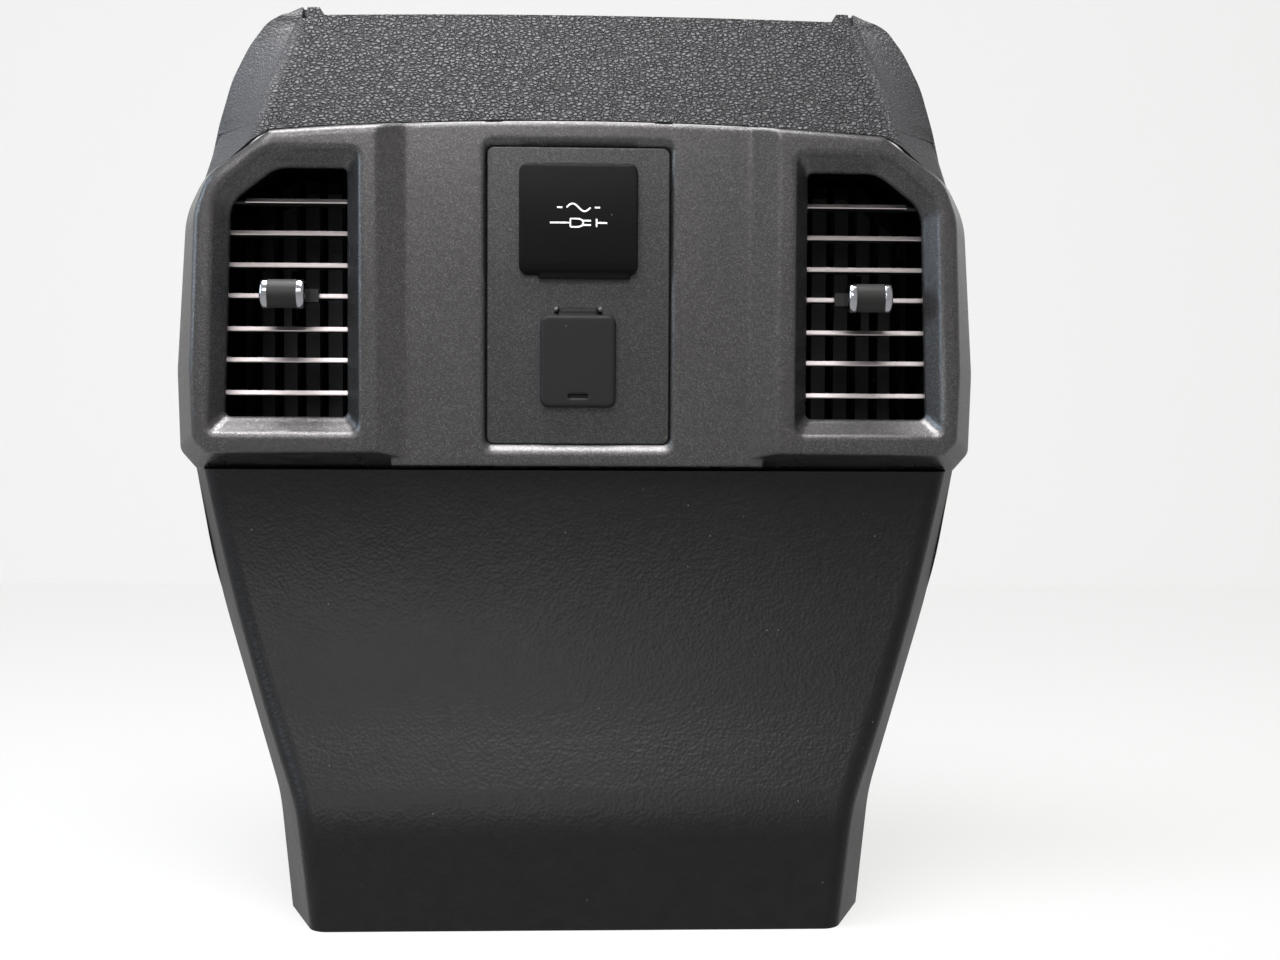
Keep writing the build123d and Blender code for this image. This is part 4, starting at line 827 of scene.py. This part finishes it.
@dataclass
class FlapSign:
    """Printed sign on the outlet's flap: a wave between bars, over a plug and its socket.

    Attributes:
        face_y: Front of the flap.
        high_row: Height of the wave's row.
        low_row: Height of the plug's row.
        wave_half: Half length of the wave.
        wave_height: Height of one hump of the wave.
        wave_steps: Straight steps that the wave is drawn in.
        stroke: Width of the printed lines.
        ink: Half the thickness of the print.
    """

    face_y: float = -34.3 * MM
    high_row: float = 293.8 * MM
    low_row: float = 287.4 * MM
    wave_half: float = 5.0 * MM
    wave_height: float = 1.6 * MM
    wave_steps: int = 24
    stroke: float = 0.7 * MM
    ink: float = 0.03 * MM

    def wave(self) -> list[tuple[float, float]]:
        """Work out the wave of the high row.

        Returns:
            Places along the wave, as X and Z.
        """
        places = []
        for index in range(self.wave_steps + 1):
            share = 2 * index / self.wave_steps - 1
            rise = self.wave_height * math.sin(math.pi * share)
            places.append((self.wave_half * share, self.high_row - rise))
        return places

    def lines(self) -> list[list[tuple[float, float]]]:
        """List the lines of the sign.

        Returns:
            For each line its places, as X and Z.
        """
        bars = [[(side * 6.8 * MM, self.high_row), (side * 9.0 * MM, self.high_row)]
                for side in (-1, 1)]
        rows = [[(x * MM, self.low_row + z * MM) for x, z in shape] for shape in PLUG_LINES]
        return [self.wave(), *bars, *rows]

    def build(self, wardrobe: Wardrobe) -> None:
        """Print the sign on the flap.

        Args:
            wardrobe: The finishes to dress it in.
        """
        deselect_all()
        curve = bpy.data.curves.new("flap_sign", "CURVE")
        curve.dimensions = "3D"
        curve.bevel_depth = self.stroke / 2
        curve.bevel_resolution = 2
        curve.use_fill_caps = True
        for places in self.lines():
            spline = curve.splines.new("POLY")
            spline.points.add(len(places) - 1)
            for point, (x, z) in zip(spline.points, places):
                point.co = (x, self.face_y, z, 1.0)
        sign = bpy.data.objects.new("flap_sign", curve)
        bpy.context.collection.objects.link(sign)
        sign.select_set(True)
        bpy.context.view_layer.objects.active = sign
        bpy.ops.object.convert(target="MESH")
        sign = bpy.context.object
        bpy.ops.object.mode_set(mode="EDIT")
        bpy.ops.mesh.select_all(action="SELECT")
        squeeze = 2 * self.ink / self.stroke
        bpy.ops.transform.resize(
            value=(1.0, squeeze, 1.0), center_override=(0.0, self.face_y, 0.0))
        bpy.ops.object.mode_set(mode="OBJECT")
        settle(sign, "flap_sign")
        wardrobe.dress(sign, "print_white")
        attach(sign, "ac_door")
        LOG.info("piece flap_sign printed")


# ---------------------------------------------------------------- studio


@dataclass(frozen=True)
class Lamp:
    """A soft rectangular lamp.

    Attributes:
        name: Name of the lamp.
        place: Where it hangs.
        aim: The point that it faces.
        size: Width and height.
        power: Power in watts.
        colour: Colour of its light.
    """

    name: str
    place: Point
    aim: Point
    size: tuple[float, float]
    power: float
    colour: Colour = (1.0, 1.0, 1.0)

    def hang(self) -> None:
        """Add the lamp to the scene."""
        data = bpy.data.lights.new(self.name, "AREA")
        data.shape = "RECTANGLE"
        data.size, data.size_y = self.size
        data.energy = self.power
        data.color = self.colour
        lamp = bpy.data.objects.new(self.name, data)
        way = Vector(self.aim) - Vector(self.place)
        facing = way.to_track_quat("-Z", "Y").to_matrix().to_4x4()
        lamp.matrix_world = Matrix.Translation(self.place) @ facing
        bpy.context.collection.objects.link(lamp)


LAMPS = (
    Lamp("overhead_lamp", (-0.12, -0.24, 1.02), (0.0, -0.02, 0.25), (0.7, 0.45), 24.0),
    Lamp("front_lamp", (-0.3, -1.6, 1.0), (0.0, 0.0, 0.3), (0.9, 0.4), 15.0),
    Lamp("window_lamp", (-1.2, -0.35, 0.7), (0.0, 0.0, 0.25), (0.5, 0.8), 11.0,
         (0.66, 0.85, 1.0)),
)


@dataclass
class Studio:
    """Table, wall, lamps and camera.

    Attributes:
        eye: Place of the camera.
        pitch: Degrees that the camera looks down.
        yaw: Degrees that the camera looks to the right.
        roll: Degrees that the camera leans to the left.
        lens: Focal length on a sensor 36 mm wide.
        wall_y: Distance of the wall behind the part.
        extent: Size of the table and of the wall.
        paint: Diffuse grey of table and wall.
        glow: Colour of the plain brightness that evens them out.
        glow_strength: Strength of that brightness.
        glow_share: Share of it in what the camera and reflections show.
        world_colour: Colour of the world.
        world_light: Strength of the light that comes from all round.
        world_shown: Strength at which the world shows behind the part and in reflections.
    """

    eye: Point = (0.001, -0.710, 0.207)
    pitch: float = 2.33
    yaw: float = 2.15
    roll: float = 0.3
    lens: float = 45.0
    wall_y: float = 1.24
    extent: float = 6.0
    paint: float = 0.8
    glow: Colour = (0.94, 0.94, 0.93)
    glow_strength: float = 0.95
    glow_share: float = 0.88
    world_colour: Colour = (1.0, 0.985, 0.97)
    world_light: float = 0.08
    world_shown: float = 0.86

    def build_camera(self) -> None:
        """Set the camera where the photograph was taken from."""
        data = bpy.data.cameras.new("camera")
        data.lens = self.lens
        data.sensor_width = 36.0
        data.clip_start = 0.01
        camera = bpy.data.objects.new("camera", data)
        turn = Matrix.Rotation(math.radians(-self.yaw), 4, "Z")
        tip = Matrix.Rotation(math.radians(90 - self.pitch), 4, "X")
        lean = Matrix.Rotation(math.radians(self.roll), 4, "Z")
        camera.matrix_world = Matrix.Translation(self.eye) @ turn @ tip @ lean
        bpy.context.collection.objects.link(camera)
        bpy.context.scene.camera = camera
        LOG.info("camera set")

    def backdrop_material(self) -> bpy.types.Material:
        """Make a pale paint that looks evenly bright to the camera and keeps soft shadows.

        Returns:
            The material.
        """
        material = bpy.data.materials.new("pale_paint")
        material.use_nodes = True
        tree = material.node_tree
        shader = tree.nodes["Principled BSDF"]
        shader.inputs["Base Color"].default_value = (self.paint, self.paint, self.paint, 1.0)
        shader.inputs["Roughness"].default_value = 0.7
        shader.inputs["Specular IOR Level"].default_value = 0.2
        glow = tree.nodes.new("ShaderNodeEmission")
        glow.inputs["Color"].default_value = (*self.glow, 1.0)
        glow.inputs["Strength"].default_value = self.glow_strength
        path = tree.nodes.new("ShaderNodeLightPath")
        seen = tree.nodes.new("ShaderNodeMath")
        seen.operation = "MAXIMUM"
        tree.links.new(path.outputs["Is Camera Ray"], seen.inputs[0])
        tree.links.new(path.outputs["Is Glossy Ray"], seen.inputs[1])
        mix = tree.nodes.new("ShaderNodeMixShader")
        share = tree.nodes.new("ShaderNodeMath")
        share.operation = "MULTIPLY"
        share.inputs[1].default_value = self.glow_share
        tree.links.new(seen.outputs[0], share.inputs[0])
        tree.links.new(share.outputs[0], mix.inputs["Fac"])
        tree.links.new(shader.outputs["BSDF"], mix.inputs[1])
        tree.links.new(glow.outputs["Emission"], mix.inputs[2])
        tree.links.new(mix.outputs["Shader"], tree.nodes["Material Output"].inputs["Surface"])
        return material

    def build_set(self) -> None:
        """Make the table and the wall behind it."""
        paint = self.backdrop_material()
        half = self.extent / 2
        deselect_all()
        bpy.ops.mesh.primitive_plane_add(size=self.extent, location=(0.0, self.wall_y - half, 0.0))
        table = settle(bpy.context.object, "table")
        deselect_all()
        bpy.ops.mesh.primitive_plane_add(size=self.extent, location=(0.0, self.wall_y, half),
                                         rotation=(math.pi / 2, 0.0, 0.0))
        wall = settle(bpy.context.object, "wall")
        for stage in (table, wall):
            stage.data.materials.append(paint)
        LOG.info("set built")

    def build_light(self) -> None:
        """Hang the lamps, and show colours as they are."""
        for lamp in LAMPS:
            lamp.hang()
        bpy.context.scene.view_settings.view_transform = "Standard"
        LOG.info("lamps hung")

    def build_world(self) -> None:
        """Set a dim even world that looks pale to the camera, in reflections and through glass."""
        world = bpy.data.worlds.new("pale_world")
        world.use_nodes = True
        tree = world.node_tree
        back = tree.nodes["Background"]
        back.inputs["Color"].default_value = (*self.world_colour, 1.0)
        path = tree.nodes.new("ShaderNodeLightPath")
        seen = path.outputs["Is Camera Ray"]
        for name in ("Is Glossy Ray", "Is Transmission Ray"):
            either = tree.nodes.new("ShaderNodeMath")
            either.operation = "MAXIMUM"
            tree.links.new(seen, either.inputs[0])
            tree.links.new(path.outputs[name], either.inputs[1])
            seen = either.outputs[0]
        strength = tree.nodes.new("ShaderNodeMapRange")
        strength.inputs["To Min"].default_value = self.world_light
        strength.inputs["To Max"].default_value = self.world_shown
        tree.links.new(seen, strength.inputs["Value"])
        tree.links.new(strength.outputs["Result"], back.inputs["Strength"])
        bpy.context.scene.world = world
        LOG.info("world set")


def main() -> None:
    """Build and dress the panel, then the studio round it."""
    logging.basicConfig(level=logging.INFO, format="%(name)s: %(message)s")
    wardrobe = Wardrobe()
    wardrobe.build()
    wardrobe.dress_frame()
    for side in Side:
        WingSkin(side).build(wardrobe)
    OutletFlap().build(wardrobe)
    FlapSign().build(wardrobe)
    studio = Studio()
    studio.build_camera()
    studio.build_set()
    studio.build_light()
    studio.build_world()


if __name__ == "__main__":
    main()
